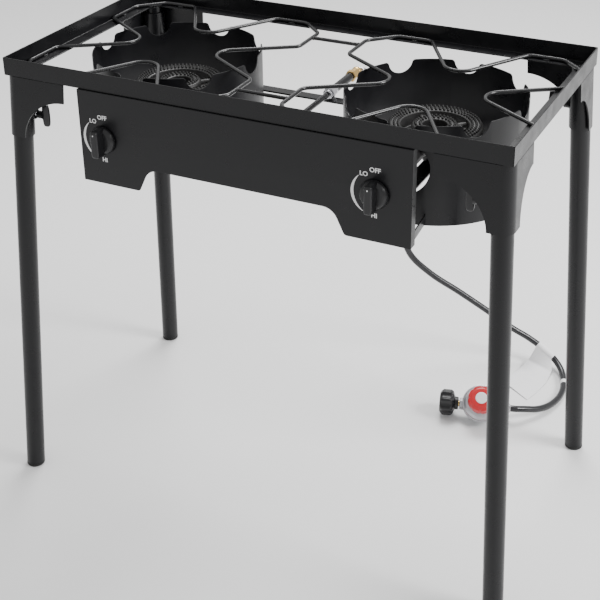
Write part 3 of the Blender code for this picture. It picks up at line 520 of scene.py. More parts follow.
def bracket_mesh(corner_name):
    stations = [(along, -BEND, along, SHEET - BEND, drop) for along, drop in bracket_arm(ARM_X)]
    for i in range(1, BEND_STEPS):
        angle = pi / 2 * i / BEND_STEPS
        s, c = sin(angle), cos(angle)
        stations.append((-BEND * s, -BEND * c, (SHEET - BEND) * s, (SHEET - BEND) * c, TIP_DROP))
    for along, drop in reversed(bracket_arm(ARM_Y)):
        stations.append((-BEND, along, SHEET - BEND, along, drop))
    rings = []
    for out_x, out_y, in_x, in_y, drop in stations:
        low = rim_top - drop
        outer, inner = (out_x, out_y), (in_x, in_y)
        section = ((outer, bracket_top), (inner, bracket_top), (inner, low), (outer, low))
        rings.append([from_axis(corner_name, *inward, z) for inward, z in section])
    bm = bmesh.new()
    loft(bm, rings, False)
    soften(bm, 0.0005, sharper=50)
    return bm


socket_low, socket_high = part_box("leg_socket_front_left")
SOCKET_RADIUS = 0.018
SCREW_DROP = 0.09
STRAP_START, STRAP_SWEEP, STRAP_STEPS = -58, 206, 40  # degrees round the leg
STRAP_WELD_ANGLES, STRAP_WELD_RADIUS = (-56, 146), 0.0172


def socket_mesh(corner_name):
    """The strap and, on its inner side, the threaded boss for the clamp screw."""
    inner, low, high = LEG_RADIUS + CLEARANCE, socket_low.z, socket_high.z
    section = ((inner, low), (SOCKET_RADIUS, low), (SOCKET_RADIUS, high), (inner, high))
    rings = []
    for i in range(STRAP_STEPS + 1):
        angle = radians(STRAP_START + STRAP_SWEEP * i / STRAP_STEPS)
        c, s = cos(angle), sin(angle)
        rings.append([from_axis(corner_name, radius * c, radius * s, z) for radius, z in section])
    bm = bmesh.new()
    loft(bm, rings, False)
    soften(bm, 0.0004, sharper=50)
    inward = (-CORNERS[corner_name][0], 0, 0)
    boss = [(0.0165, 0.0036), (0.0165, 0.0092), (0.0185, 0.0085)]
    boss += [(0.025, 0.0085), (0.026, 0.0076), (0.026, 0.0036)]
    turn(bm, boss, leg_axis(corner_name, rim_top - SCREW_DROP), inward, 40, hollow=True)
    return bm


for corner in CORNERS:
    for name, mesh, plain in (
        ("pressed_bracket_", bracket_mesh(corner), "corner_bracket_"),
        ("socket_strap_", socket_mesh(corner), "leg_socket_"),
    ):
        finished(name + corner, mesh, powder_coat, [plain + corner])
    strap_welds = []
    for degrees in STRAP_WELD_ANGLES:
        across = STRAP_WELD_RADIUS * cos(radians(degrees))
        along = STRAP_WELD_RADIUS * sin(radians(degrees))
        for i in range(30):
            strap_welds.append(from_axis(corner, across, along, socket_low.z + 0.012 + i * 0.0025))
    beads = {"Bead Radius": 0.0016, "Material": powder_coat}
    grow("strap_welds_" + corner, weld_tree, strap_welds, beads)


# Legs and feet
# The legs are thin-walled tube with a smooth powder-coated skin. A soft black plug closes the foot of each.

foot_rubber = surface("foot_rubber", (0.01, 0.01, 0.01), (0.015, 0.015, 0.015), 0.6, gloss=0.35, speckle=1200)


def splayed(bm, corner_name, profile, closed, steps=64):
    """Level circles strung on a leg's axis, from a profile of (radius, z)."""
    rings = []
    for radius, z in profile:
        centre = leg_axis(corner_name, z)
        angles = (2 * pi * i / steps for i in range(steps))
        rings.append([centre + Vector((cos(t), sin(t), 0)) * radius for t in angles])
    loft(bm, rings, closed)


TUBE_WALL, EDGE = 0.0015, 0.0004
PLUG_ROUND, PLUG_LIP, PLUG_TOP = 0.003, 0.0057, 0.024

for corner in CORNERS:
    leg_low, leg_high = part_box("leg_" + corner)
    inner = LEG_RADIUS - TUBE_WALL
    tube = [(inner, leg_low.z), (LEG_RADIUS - EDGE, leg_low.z), (LEG_RADIUS, leg_low.z + EDGE)]
    tube += [(LEG_RADIUS, leg_high.z - EDGE), (LEG_RADIUS - EDGE, leg_high.z), (inner, leg_high.z)]
    leg_mesh = bmesh.new()
    splayed(leg_mesh, corner, tube, True)
    body = "leg_assembly_" + corner
    finished("leg_tube_" + corner, leg_mesh, powder_coat, ["leg_" + corner], body, 50)
    plug = [(0.01, 0.0004), (0.0105, 0)]
    for i in range(9):
        angle = pi / 2 * i / 8
        inset, rise = PLUG_ROUND * (1 - sin(angle)), PLUG_ROUND * (1 - cos(angle))
        plug.append((LEG_RADIUS - inset, rise))
    plug += [(LEG_RADIUS, PLUG_LIP - 0.0003), (LEG_RADIUS - 0.0003, PLUG_LIP)]
    plug += [(inner - CLEARANCE, PLUG_LIP), (inner - CLEARANCE, PLUG_TOP)]
    foot_mesh = bmesh.new()
    splayed(foot_mesh, corner, plug, False)
    finished("foot_plug_" + corner, foot_mesh, foot_rubber, ["foot_" + corner], body)


# Clamp screws
# A zinc-plated screw runs through each socket's boss and pinches the leg. It is turned by a black moulded
# tee handle with a waisted bar.

black_plastic = surface(
    "black_plastic", (0.008, 0.008, 0.009), (0.012, 0.012, 0.013), 0.33, speckle=1400, gloss=0.4
)
zinc_plate = surface(
    "zinc_plate", (0.62, 0.62, 0.64), (0.48, 0.48, 0.5), 0.33, 1.0, grain=160, speckle=2000, bump=0.00003
)
BAR_DISTANCE, BAR_HALF_LENGTH = 0.0445, 0.0178
BAR_HALF_DEPTH, BAR_HALF_WIDTH = 0.0064, 0.0045


def rounded_box(steps, power):
    """(across, up) points round a box of half size 1. A lower power has squarer corners."""
    points = []
    for k in range(steps):
        angle = 2 * pi * k / steps
        c, s = cos(angle), sin(angle)
        points.append((copysign(abs(c) ** power, c), copysign(abs(s) ** power, s)))
    return points


for corner in CORNERS:
    body = f"clamp_screw_{corner}_body"
    inward = Vector((-CORNERS[corner][0], 0, 0))
    screw_start = leg_axis(corner, rim_top - SCREW_DROP)
    thread = [(LEG_RADIUS + 0.0004, 0.0022), (LEG_RADIUS + 0.0012, 0.003)]
    for i in range(14):
        along = LEG_RADIUS + 0.0016 + i * 0.0009
        thread += [(along, 0.003), (along + 0.00045, 0.0026)]
    thread += [(0.03, 0.003), (0.031, 0.003)]
    name = "clamp_screw_thread_" + corner
    turned(name, screw_start, inward, [(thread, 24)], zinc_plate, (), body)
    handle_mesh = bmesh.new()
    hub = [(0.029, 0.0048), (0.0294, 0.0056), (0.031, 0.006), (0.037, 0.0058), (0.04, 0.0066)]
    turn(handle_mesh, hub, screw_start, inward, 32)
    bar_rings = []
    for i in range(25):
        t = -1 + i / 12
        rise = BAR_HALF_LENGTH * sin(t * pi / 2)
        crown = max(0.05, cos(t * pi / 2)) ** 0.35
        waist = 1 - 0.18 * (1 - t * t) ** 2
        bar_ring = []
        for out, across in rounded_box(24, 0.7):
            depth = BAR_DISTANCE + BAR_HALF_DEPTH * crown * out
            width = BAR_HALF_WIDTH * crown * waist * across
            bar_ring.append(screw_start + inward * depth + Vector((0, width, rise)))
        bar_rings.append(bar_ring)
    loft(handle_mesh, bar_rings, False)
    name, plain = "tee_handle_" + corner, ["clamp_screw_" + corner]
    finished(name, handle_mesh, black_plastic, plain, body, 55)


# Wind guards
# Each is a strip of sheet rolled into a drum, with eight tabs between round notches along its top and a
# round hole in front that lets the burner's tube through. Heat-proof black paint covers it inside and out.

guard_paint = surface(
    "guard_paint", (0.0045, 0.0045, 0.0055), (0.008, 0.008, 0.0092), 0.34, grain=18, gloss=0.3, spread=0.07
)
GUARD_SHEET = 0.0015
NOTCH_RADIUS = 0.02
TAB_ROUND = 0.0055
GUARD_HOLE = 0.042
GUARD_HOLE_RISE = 0.0105


def drum_stations(radius, top):
    """(angle, height) along a drum's top edge, notch after notch."""
    stations = []
    fillet_u = sqrt((NOTCH_RADIUS + TAB_ROUND) ** 2 - TAB_ROUND**2)
    tangent = asin(TAB_ROUND / (NOTCH_RADIUS + TAB_ROUND))
    for notch in range(8):
        middle = pi / 4 * notch - pi / 2
        edge = []
        for i in range(7):
            angle = pi / 2 + (tangent - pi / 2) * i / 6
            height = top - TAB_ROUND + TAB_ROUND * sin(angle)
            edge.append((-fillet_u + TAB_ROUND * cos(angle), height))
        for i in range(1, 28):
            angle = tangent + (pi - 2 * tangent) * i / 28
            edge.append((-NOTCH_RADIUS * cos(angle), top - NOTCH_RADIUS * sin(angle)))
        edge += [(-u, height) for u, height in reversed(edge[:7])]
        stations += [(middle + u / radius, height) for u, height in edge]
        tab = 2 * pi / 8 - 2 * fillet_u / radius
        stations += [(middle + fillet_u / radius + tab * part / 5, top) for part in range(1, 5)]
    return stations


def carve(bm, cutter_mesh):
    """Cuts one mesh out of another."""
    made = []
    for part_name, part in (("carved", bm), ("cutter", cutter_mesh)):
        bmesh.ops.recalc_face_normals(part, faces=part.faces)
        made.append(placed(part_name, plain_mesh(part_name, part)))
    carved, cutter = made
    cut = carved.modifiers.new("cut", "BOOLEAN")
    cut.operation = "DIFFERENCE"
    cut.solver = "EXACT"
    cut.object = cutter
    result = bmesh.new()
    result.from_mesh(made_mesh(carved))
    bpy.data.objects.remove(cutter)
    return result


for side_name in ("left", "right"):
    low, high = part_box("wind_guard_" + side_name)
    drum_radius = (high.x - low.x) / 2
    drum_x = (low.x + high.x) / 2
    shutter_low, shutter_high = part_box("air_shutter_" + side_name)
    tube_z = (shutter_low.z + shutter_high.z) / 2
    inner = drum_radius - GUARD_SHEET
    drum_rings = []
    for angle, top in drum_stations(drum_radius, high.z):
        outward = Vector((cos(angle), sin(angle), 0))
        section = [(drum_radius - EDGE, low.z), (drum_radius, low.z + EDGE), (drum_radius, top - EDGE)]
        section += [(drum_radius - EDGE, top), (inner + EDGE, top), (inner, top - EDGE)]
        section += [(inner, low.z + EDGE), (inner + EDGE, low.z)]
        drum_rings.append([Vector((drum_x, 0, z)) + outward * radius for radius, z in section])
    drum_mesh = bmesh.new()
    loft(drum_mesh, drum_rings, True)
    drill = bmesh.new()
    drill_start = (drum_x, -drum_radius - 0.02, tube_z + GUARD_HOLE_RISE)
    turn(drill, [(0, GUARD_HOLE), (0.06, GUARD_HOLE)], drill_start, (0, 1, 0), 72)
    drum_mesh = carve(drum_mesh, drill)
    plain = ["wind_guard_" + side_name]
    finished("notched_drum_" + side_name, drum_mesh, guard_paint, plain)


# Bars, braces and bolts
# Flat bars carry the burners across their guards, a cross bar joins the guards and carries the gas pipe, and
# two straps brace the control panel. A zinc bolt holds each burner down.

for bar in ("burner_bar_left", "burner_bar_right", "cross_bar", "panel_brace_left", "panel_brace_right"):
    bar_mesh = copy_of(bar)
    soften(bar_mesh, 0.0004)
    finished("flat_" + bar, bar_mesh, powder_coat, [bar])

for side_name in ("left", "right"):
    low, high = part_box("burner_bolt_" + side_name)
    centre = Vector(((low.x + high.x) / 2, (low.y + high.y) / 2, low.z))
    head = [(0, 0.0058), (0.0006, 0.0065), (0.0044, 0.0065)]
    shank = [(0.004, 0.0031), (high.z - low.z, 0.0031)]
    name, plain = "hex_bolt_" + side_name, ["burner_bolt_" + side_name]
    turned(name, centre, (0, 0, 1), [(head, 6), (shank, 24)], zinc_plate, plain, smooth=25)


# Burners
# Cast-iron ring burners: an outer ring with three rows of raised ports, an inner ring with two, four spokes
# and a hub in one casting, with a mixing tube to a bell mouth in front. An air shutter closes the mouth.

cast_iron = surface(
    "cast_iron", (0.011, 0.011, 0.011), (0.026, 0.025, 0.025), 0.48, 0.2, grain=55, speckle=420, bump=0.0004
)
# Painted shade: a near-black matte finish for the discs on the port tops, which stand in for the shade inside
# each port's hole.
hole_shade = surface("hole_shade", (0.004, 0.004, 0.004), (0.008, 0.008, 0.008), 0.9, grain=300)


def port_rows_tree():
    """One row of raised gas ports: small cones on a circle, each topped by a near-black disc of painted shade
    for its hole.
    """
    inputs = {"Centre": "Geometry", "Row Radius": "Float", "Port Radius": "Float", "Port Height": "Float"}
    inputs |= {"Ports": "Int", "Casting": "Material", "Hole": "Material"}
    tree, given, result = new_tree("port_row", inputs)
    link = tree.links.new

    def number(operation, socket_name, value):
        """One of the tree's inputs, with a value added to it or multiplied by it."""
        node = tree.nodes.new("ShaderNodeMath")
        node.operation = operation
        node.inputs[1].default_value = value
        link(given.outputs[socket_name], node.inputs[0])
        return node.outputs["Value"]

    circle = tree.nodes.new("GeometryNodeMeshCircle")
    link(given.outputs["Ports"], circle.inputs["Vertices"])
    link(given.outputs["Row Radius"], circle.inputs["Radius"])
    rows = tree.nodes.new("GeometryNodeInstanceOnPoints")
    link(given.outputs["Centre"], rows.inputs["Points"])
    link(circle.outputs["Mesh"], rows.inputs["Instance"])
    row_points = tree.nodes.new("GeometryNodeRealizeInstances")
    link(rows.outputs["Instances"], row_points.inputs["Geometry"])
    merged = tree.nodes.new("GeometryNodeJoinGeometry")
    # The second, smaller cone is the near-black disc of painted shade on each port's top, in place of the
    # hole.
    for foot, tip, lift, paint in ((1, 0.7, 0, "Casting"), (0.45, 0.45, 0.00006, "Hole")):
        cone = tree.nodes.new("GeometryNodeMeshCone")
        cone.inputs["Vertices"].default_value = 12
        link(number("MULTIPLY", "Port Radius", foot), cone.inputs["Radius Bottom"])
        link(number("MULTIPLY", "Port Radius", tip), cone.inputs["Radius Top"])
        link(number("ADD", "Port Height", lift), cone.inputs["Depth"])
        ports = repeat(tree, row_points.outputs["Geometry"], cone, given.outputs[paint])
        link(ports, merged.inputs["Geometry"])
    link(merged.outputs["Geometry"], result.inputs["Mesh"])
    return tree


port_tree = port_rows_tree()
RING_DEPTH = 0.02
OUTER_RING = (0.05, 0.071)
INNER_RING = (0.018, 0.035)
PORT_ROWS = ((0.0545, 56), (0.0603, 62), (0.0661, 68), (0.0225, 22), (0.029, 30))  # radius, ports
PORT_RADIUS, PORT_HEIGHT, PORT_SINK = 0.0021, 0.003, 0.0003


def ring_profile(inner, outer):
    """(depth, radius) round the section of a burner ring."""
    profile = [(RING_DEPTH, inner + 0.0015), (RING_DEPTH - 0.002, inner)]
    profile += [(0.003, inner), (0.0012, inner + 0.0006), (0.0002, inner + 0.0022), (0, inner + 0.0035)]
    profile += [(0, outer - 0.005), (0.0004, outer - 0.0032), (0.0018, outer - 0.0012), (0.004, outer)]
    return profile + [(RING_DEPTH - 0.003, outer - 0.0015), (RING_DEPTH, outer - 0.004)]


for side_name in ("left", "right"):
    guard_low, guard_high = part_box("wind_guard_" + side_name)
    burner_low, burner_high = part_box("burner_" + side_name)
    shutter_low, shutter_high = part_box("air_shutter_" + side_name)
    hub_x = (guard_low.x + guard_high.x) / 2
    tube_x, tube_z = (shutter_low.x + shutter_high.x) / 2, (shutter_low.z + shutter_high.z) / 2
    top = Vector((hub_x, 0, burner_high.z))
    burner_mesh = bmesh.new()
    turn(burner_mesh, ring_profile(*OUTER_RING), top, (0, 0, -1), 96, hollow=True)
    turn(burner_mesh, ring_profile(*INNER_RING), top, (0, 0, -1), 72, hollow=True)
    hub_depth = burner_high.z - burner_low.z
    hub_profile = [(RING_DEPTH - 0.006, 0.0245), (RING_DEPTH, 0.0262), (0.03, 0.024), (0.04, 0.0205)]
    hub_profile += [(hub_depth - 0.008, 0.018), (hub_depth - 0.0015, 0.018), (hub_depth, 0.0168)]
    turn(burner_mesh, hub_profile, top, (0, 0, -1), 48)
    for spoke in range(4):
        angle = pi / 4 + pi / 2 * spoke
        along = Vector((cos(angle), sin(angle), 0))
        across = Vector((-along.y, along.x, 0))
        spoke_rings = []
        for i in range(9):
            out = 0.024 + 0.034 * i / 8
            flare = 0.0052 + 0.003 * abs(i / 4 - 1) ** 2.5
            section = []
            for k in range(16):
                around = 2 * pi * k / 16
                lift = -0.0105 - 0.0055 * sin(around)
                section.append(top + along * out + across * flare * cos(around) + Vector((0, 0, lift)))
            spoke_rings.append(section)
        loft(burner_mesh, spoke_rings, False)
    tube_profile = [(0, 0.0158), (0, 0.0182), (0.0012, 0.019), (0.004, 0.019), (0.0056, 0.0182)]
    tube_profile += [(0.01, 0.016), (0.016, 0.014), (0.024, 0.0131), (0.09, 0.0128), (0.128, 0.0138)]
    tube_profile += [(0.128, 0.0105), (0.02, 0.0105), (0.01, 0.0125), (0.004, 0.0148)]
    turn(burner_mesh, tube_profile, (tube_x, shutter_high.y + CLEARANCE, tube_z), (0, 1, 0), 48, hollow=True)
    finished("ring_burner_" + side_name, burner_mesh, cast_iron, ["burner_" + side_name])
    for row, (row_radius, ports) in enumerate(PORT_ROWS):
        inputs = {"Row Radius": row_radius, "Port Radius": PORT_RADIUS, "Port Height": PORT_HEIGHT}
        inputs |= {"Ports": ports, "Casting": cast_iron, "Hole": hole_shade}
        row_centre = top - Vector((0, 0, PORT_SINK))
        grow(f"ports_{side_name}_{row}", port_tree, [row_centre], inputs)
    shutter = "air_shutter_" + side_name
    shutter_mesh = copy_of(shutter)
    soften(shutter_mesh, 0.0002)
    name = "shutter_disc_" + side_name
    finished(name, shutter_mesh, powder_coat, [shutter], shutter + "_body")


# Pot grates
# Each grate is one closed loop of 6 mm wire, bent to a rounded vee in the middle of every side. It lies on
# the rails' flanges, and two short rods join the pair. Small welds hold the wire down.

grate_paint = surface("grate_paint", (0.01, 0.01, 0.011), (0.018, 0.018, 0.019), 0.24, 0.1, grain=30)
GRATE_WIRE = 0.003
CELL_HALF_X, CELL_HALF_Y = 0.176, 0.19
VEE_TIP, VEE_REACH = 0.054, 0.08
CHAMFER = 0.04
GRATE_WELD_INSET, GRATE_WELD_STEP = 0.0032, 0.0018


def rounded_outline(corners, steps):
    """A polygon of (a, b, radius) corners with each corner drawn as an arc."""
    points = []
    for i, (a, b, radius) in enumerate(corners):
        here = Vector((a, b))
        before = Vector(corners[i - 1][:2]) - here
        after = Vector(corners[(i + 1) % len(corners)][:2]) - here
        half = before.angle(after) / 2
        run = radius / tan(half)
        centre = here + (before.normalized() + after.normalized()).normalized() * (radius / sin(half))
        first = here + before.normalized() * run - centre
        last = here + after.normalized() * run - centre
        sweep = atan2(first.x * last.y - first.y * last.x, first.dot(last))
        for k in range(steps + 1):
            c, s = cos(sweep * k / steps), sin(sweep * k / steps)
            points.append((centre.x + first.x * c - first.y * s, centre.y + first.x * s + first.y * c))
    return points


grate_corners = []
for quarter in range(4):
    side, across = (CELL_HALF_Y, CELL_HALF_X) if quarter % 2 == 0 else (CELL_HALF_X, CELL_HALF_Y)
    c, s = round(cos(pi / 2 * quarter)), round(sin(pi / 2 * quarter))
    for a, b, radius in (
        (-across + CHAMFER, -side, 0.018),
        (-VEE_REACH, -side, 0.014),
        (0, -VEE_TIP, 0.026),
        (VEE_REACH, -side, 0.014),
        (across - CHAMFER, -side, 0.018),
    ):
        grate_corners.append((a * c - b * s, a * s + b * c, radius))

grate_low, grate_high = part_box("pot_grate_left")
grate_z = (grate_low.z + grate_high.z) / 2
grate_welds = []
for side_name in ("left", "right"):
    low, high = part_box("pot_grate_" + side_name)
    cell_x = (low.x + high.x) / 2
    loop = [(cell_x + a, b, grate_z) for a, b in rounded_outline(grate_corners, 12)]
    grate = wire("wire_grate_" + side_name, loop, True, GRATE_WIRE, grate_paint)
    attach(grate, "stand")
    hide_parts("pot_grate_" + side_name)
    outer_x = cell_x + copysign(CELL_HALF_X, cell_x)
    for sign in (-1, 1):
        for part in (-1, 1):
            for i in range(5):
                weld_x = cell_x + part * 0.108 + GRATE_WELD_STEP * (i - 2)
                grate_welds.append((weld_x, sign * (CELL_HALF_Y - GRATE_WELD_INSET), grate_low.z))
        for i in range(5):
            weld_y = sign * 0.112 + GRATE_WELD_STEP * (i - 2)
            grate_welds.append((outer_x - copysign(GRATE_WELD_INSET, cell_x), weld_y, grate_low.z))

for rod_name in ("link_rod_front", "link_rod_rear"):
    low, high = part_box(rod_name)
    rod_y = (low.y + high.y) / 2
    rod = [([(0, GRATE_WIRE), (high.x - low.x, GRATE_WIRE)], 32)]
    start = (low.x, rod_y, grate_z)
    turned("grate_" + rod_name, start, (1, 0, 0), rod, grate_paint, [rod_name])
    for end in (low.x - 0.0002, high.x + 0.0002):
        for i in range(10):
            angle = 2 * pi * i / 10
            grate_welds.append((end, rod_y + 0.0029 * cos(angle), grate_z + 0.0026 * sin(angle)))
beads = {"Bead Radius": 0.0014, "Material": grate_paint}
grow("grate_welds", weld_tree, grate_welds, beads)


# Control panel
# One pressed sheet hangs under the front rail, its top and ends turned back and its lower edge cut up in the
# middle. Each valve has a white printed scale: OFF, LO, a crescent and HI.

panel_coat = surface(
    "panel_coat", (0.0055, 0.0055, 0.0065), (0.0078, 0.0078, 0.0088), 0.32, speckle=850, bump=8e-5, gloss=0.3
)
white_ink = surface("white_ink", (0.8, 0.8, 0.8), (0.72, 0.72, 0.72), 0.5, grain=200)

panel_mesh = copy_of("control_panel")
soften(panel_mesh, 0.0005, sharper=50)
finished("pressed_panel", panel_mesh, panel_coat, ["control_panel"])

panel_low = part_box("control_panel")[0]
PRINT_LIFT = 0.00008
LETTER_HEIGHT = 0.0066
BOLD = 0.00028
CRESCENT_RADIUS = 0.0335


def printed(name, mesh):
    """A mark in white ink on the panel."""
    mesh.materials.clear()
    mesh.materials.append(white_ink)
    piece = placed(name, mesh)
    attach(piece, "stand")


def print_word(name, word, x, z):
    """A word in bold capitals, centred on a point of the panel's face."""
    text = bpy.data.curves.new(name, "FONT")
    text.body = word
    text.align_x, text.align_y = "CENTER", "CENTER"
    text.size = LETTER_HEIGHT / 0.7
    text.offset = BOLD
    text.extrude = PRINT_LIFT / 2
    text.resolution_u = 4
    mesh = made_mesh(placed(name, text))
    place = Matrix.Translation((x, panel_low.y - PRINT_LIFT / 2, z)) @ Matrix.Rotation(pi / 2, 4, "X")
    mesh.transform(place)
    printed(name, mesh)


for side_name in ("left", "right"):
    low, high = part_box("knob_" + side_name)
    dial_x, dial_z = (low.x + high.x) / 2, (low.z + high.z) / 2
    print_word("print_off_" + side_name, "OFF", dial_x, dial_z + 0.0345)
    print_word("print_lo_" + side_name, "LO", dial_x - 0.0165, dial_z + 0.027)
    print_word("print_hi_" + side_name, "HI", dial_x - 0.0005, dial_z - 0.033)
    crescent = bmesh.new()
    crescent_rings = []
    for i in range(33):
        angle = radians(135 + 105 * i / 32)
        half_width = 0.0002 + 0.0019 * sin(pi * i / 32) ** 0.8
        inner, outer = CRESCENT_RADIUS - half_width, CRESCENT_RADIUS + half_width
        ring = []
        for radius, y in ((inner, 0), (outer, 0), (outer, -PRINT_LIFT), (inner, -PRINT_LIFT)):
            x, z = dial_x + radius * cos(angle), dial_z + radius * sin(angle)
            ring.append((x, panel_low.y + y, z))
        crescent_rings.append(ring)
    loft(crescent, crescent_rings, False)
    bmesh.ops.recalc_face_normals(crescent, faces=crescent.faces)
    name = "print_crescent_" + side_name
    printed(name, plain_mesh(name, crescent))


# Valves and knobs
# Brass valves with a hexagon body and a tapered jet stand behind the panel. Their stems carry black moulded
# knobs: a round skirt with a tall bar grip and a white pointer at its top end.

brass = surface("brass", (0.7, 0.48, 0.19), (0.56, 0.37, 0.14), 0.3, 1.0, grain=120, speckle=1800, bump=3e-5)
knob_white = surface("knob_white", (0.82, 0.82, 0.82), (0.75, 0.75, 0.75), 0.4, grain=200)
PANEL_SHEET = 0.0015
KNOB_RADIUS, GRIP_HALF_WIDTH = 0.0215, 0.0076

for side_name in ("left", "right"):
    low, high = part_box("gas_valve_" + side_name)
    knob_low, knob_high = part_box("knob_" + side_name)
    valve_x, valve_z = (low.x + high.x) / 2, (low.z + high.z) / 2
    stem_start = Vector((valve_x, low.y, valve_z))
    behind = panel_low.y + PANEL_SHEET + CLEARANCE - low.y
    stem = [(0, 0.0026), (0.0005, 0.003), (behind, 0.003)]
    collar = [(behind - 0.004, 0.0067), (behind, 0.0067)]
    hexagon = [(behind, 0.0095), (behind + 0.0008, 0.0105)]
    hexagon += [(behind + 0.01, 0.0105), (behind + 0.0108, 0.0095)]
    barrel = [(behind + 0.01, 0.009), (behind + 0.03, 0.009), (behind + 0.033, 0.0085)]
    barrel.append((behind + 0.036, 0.0058))
    barrel += [(behind + 0.048, 0.005), (behind + 0.056, 0.0034), (behind + 0.058, 0.0025)]
    solids = [(stem, 32), (collar, 40), (hexagon, 6), (barrel, 48)]
    name, plain = "brass_valve_" + side_name, ["gas_valve_" + side_name]
    turned(name, stem_start, (0, 1, 0), solids, brass, plain, smooth=28)

    back = Vector((valve_x, knob_high.y, valve_z))
    front = Vector((0, -1, 0))
    depth = knob_high.y - knob_low.y
    knob_mesh = bmesh.new()
    skirt = [(0, 0.0034), (0, KNOB_RADIUS - 0.001), (0.0004, KNOB_RADIUS - 0.0002), (0.0012, KNOB_RADIUS)]
    skirt += [(0.0034, KNOB_RADIUS - 0.0001), (0.0052, KNOB_RADIUS - 0.0008), (0.0078, KNOB_RADIUS - 0.0024)]
    skirt += [(0.0092, KNOB_RADIUS - 0.004), (0.0098, KNOB_RADIUS - 0.0062), (0.0098, 0.0034)]
    turn(knob_mesh, skirt, back, front, 72, hollow=True)
    grip_rings = []
    grip_half = knob_high.z - valve_z
    grip_profile = [(0.0045, 0), (0.014, 0.0003), (0.021, 0.0006), (0.0232, 0.0009)]
    grip_profile += [(0.0246, 0.0018), (0.0252, 0.0028), (depth, 0.0044)]
    for reach, shrink in grip_profile:
        ring = []
        for across, up in rounded_box(72, 0.42):
            tall = (grip_half - shrink) * up
            waist = 1 - 0.1 * (1 - (tall / grip_half) ** 2)
            wide = (GRIP_HALF_WIDTH * waist - shrink) * across
            ring.append(back + front * reach + Vector((wide, 0, tall)))
        grip_rings.append(ring)
    loft(knob_mesh, grip_rings, False)
    body, plain = f"knob_{side_name}_body", ["knob_" + side_name]
    finished("moulded_knob_" + side_name, knob_mesh, black_plastic, plain, body, 40)
    dot_start = back + front * (depth - 0.0006) + Vector((0, 0, grip_half * 0.72))
    dot = [([(0, 0.0012), (0.0005, 0.0012), (0.0007, 0.0009)], 24)]
    turned("knob_pointer_" + side_name, dot_start, front, dot, knob_white, (), body)


# Gas pipes and fittings
# Thin steel tubes run from a brass tee to the valves. A black pipe runs from the tee back to a zinc union,
# and a thicker inlet tube ends in the brass fitting that takes the hose's nut and crimped sleeve.

PIPE_RADIUS, INLET_RADIUS = 0.0045, 0.007

for side_name, sign in (("left", -1), ("right", 1)):
    low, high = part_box("manifold_tube_" + side_name)
    start = Vector((low.x if sign > 0 else high.x, (low.y + high.y) / 2, (low.z + high.z) / 2))
    run = high.x - low.x
    tube = [([(0, PIPE_RADIUS), (run, PIPE_RADIUS)], 40)]
    name, plain = "steel_tube_" + side_name, ["manifold_tube_" + side_name]
    turned(name, start, (sign, 0, 0), tube, powder_coat, plain)
    flare_nut = [(0.0, 0.0052), (0.0008, 0.007), (0.012, 0.007), (0.0135, 0.0052)]
    nuts_mesh = bmesh.new()
    turn(nuts_mesh, flare_nut, start, (sign, 0, 0), 6)
    turn(nuts_mesh, flare_nut, start + Vector((sign * run, 0, 0)), (-sign, 0, 0), 6)
    finished("flare_nuts_" + side_name, nuts_mesh, brass, (), smooth=25)

tee_mesh = copy_of("tee_fitting")
soften(tee_mesh, 0.0016, 3)
finished("brass_tee", tee_mesh, brass, ["tee_fitting"])


def pipe_piece(name, node, solids, material):
    """A piece on the gas line, turned from the front end of its node. solids are (profile, steps) pairs."""
    low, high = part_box(node)
    start = Vector((0, low.y, (low.z + high.z) / 2))
    turned(name, start, (0, 1, 0), solids, material, [node], smooth=28)


rear_profile = [(0, PIPE_RADIUS), (pipe_high.y - pipe_low.y, PIPE_RADIUS)]
pipe_piece("black_gas_pipe", "rear_pipe", [(rear_profile, 40)], powder_coat)
union_solids = [
    ([(0, 0.0062), (0.0006, 0.007), (0.0065, 0.007)], 36),
    ([(0.006, 0.0092), (0.007, 0.0104), (0.018, 0.0104), (0.019, 0.0092)], 6),
    ([(0.0185, 0.0082), (0.0255, 0.0082), (0.026, 0.0076)], 36),
]
pipe_piece("zinc_union", "pipe_union", union_solids, zinc_plate)
inlet_low, inlet_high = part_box("inlet_tube")
inlet_run = inlet_high.y - inlet_low.y
inlet_profile = [(0, INLET_RADIUS - EDGE), (0.0006, INLET_RADIUS), (inlet_run - 0.0006, INLET_RADIUS)]
inlet_profile.append((inlet_run, INLET_RADIUS - EDGE))
pipe_piece("inlet_pipe", "inlet_tube", [(inlet_profile, 48)], powder_coat)
fitting_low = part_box("inlet_fitting")[0]
elbow_mesh = bmesh.new()
fitting_start = Vector((0, fitting_low.y, ELBOW.z))
for profile, sides in (
    ([(0, 0.0092), (0.0008, 0.0102), (0.0096, 0.0102), (0.0104, 0.0092)], 6),
    ([(0.01, 0.0078), (0.0125, 0.0082), (0.015, 0.008), (ELBOW.y - fitting_low.y, 0.008)], 40),
):
    turn(elbow_mesh, profile, fitting_start, (0, 1, 0), sides)
BALL_RADIUS = 0.0086
ball = []
for i in range(1, 24):
    angle = pi * i / 24
    ball.append((-BALL_RADIUS * cos(angle), BALL_RADIUS * sin(angle)))
turn(elbow_mesh, ball, ELBOW, INLET_DIP, 40)
turn(elbow_mesh, [(0, 0.007), (ELBOW_REACH, 0.007)], ELBOW, INLET_DIP, 40)
finished("brass_inlet", elbow_mesh, brass, ["inlet_fitting"], smooth=28)


def crimps(start, radius, count):
    """The rings crimped into a sleeve, as a stretch of its profile."""
    profile = []
    for crimp in range(count):
        along = start + crimp * 0.0047
        profile += [(along, radius), (along + 0.0026, radius)]
        profile += [(along + 0.0031, radius - 0.0005), (along + 0.0042, radius - 0.0005)]
    return profile


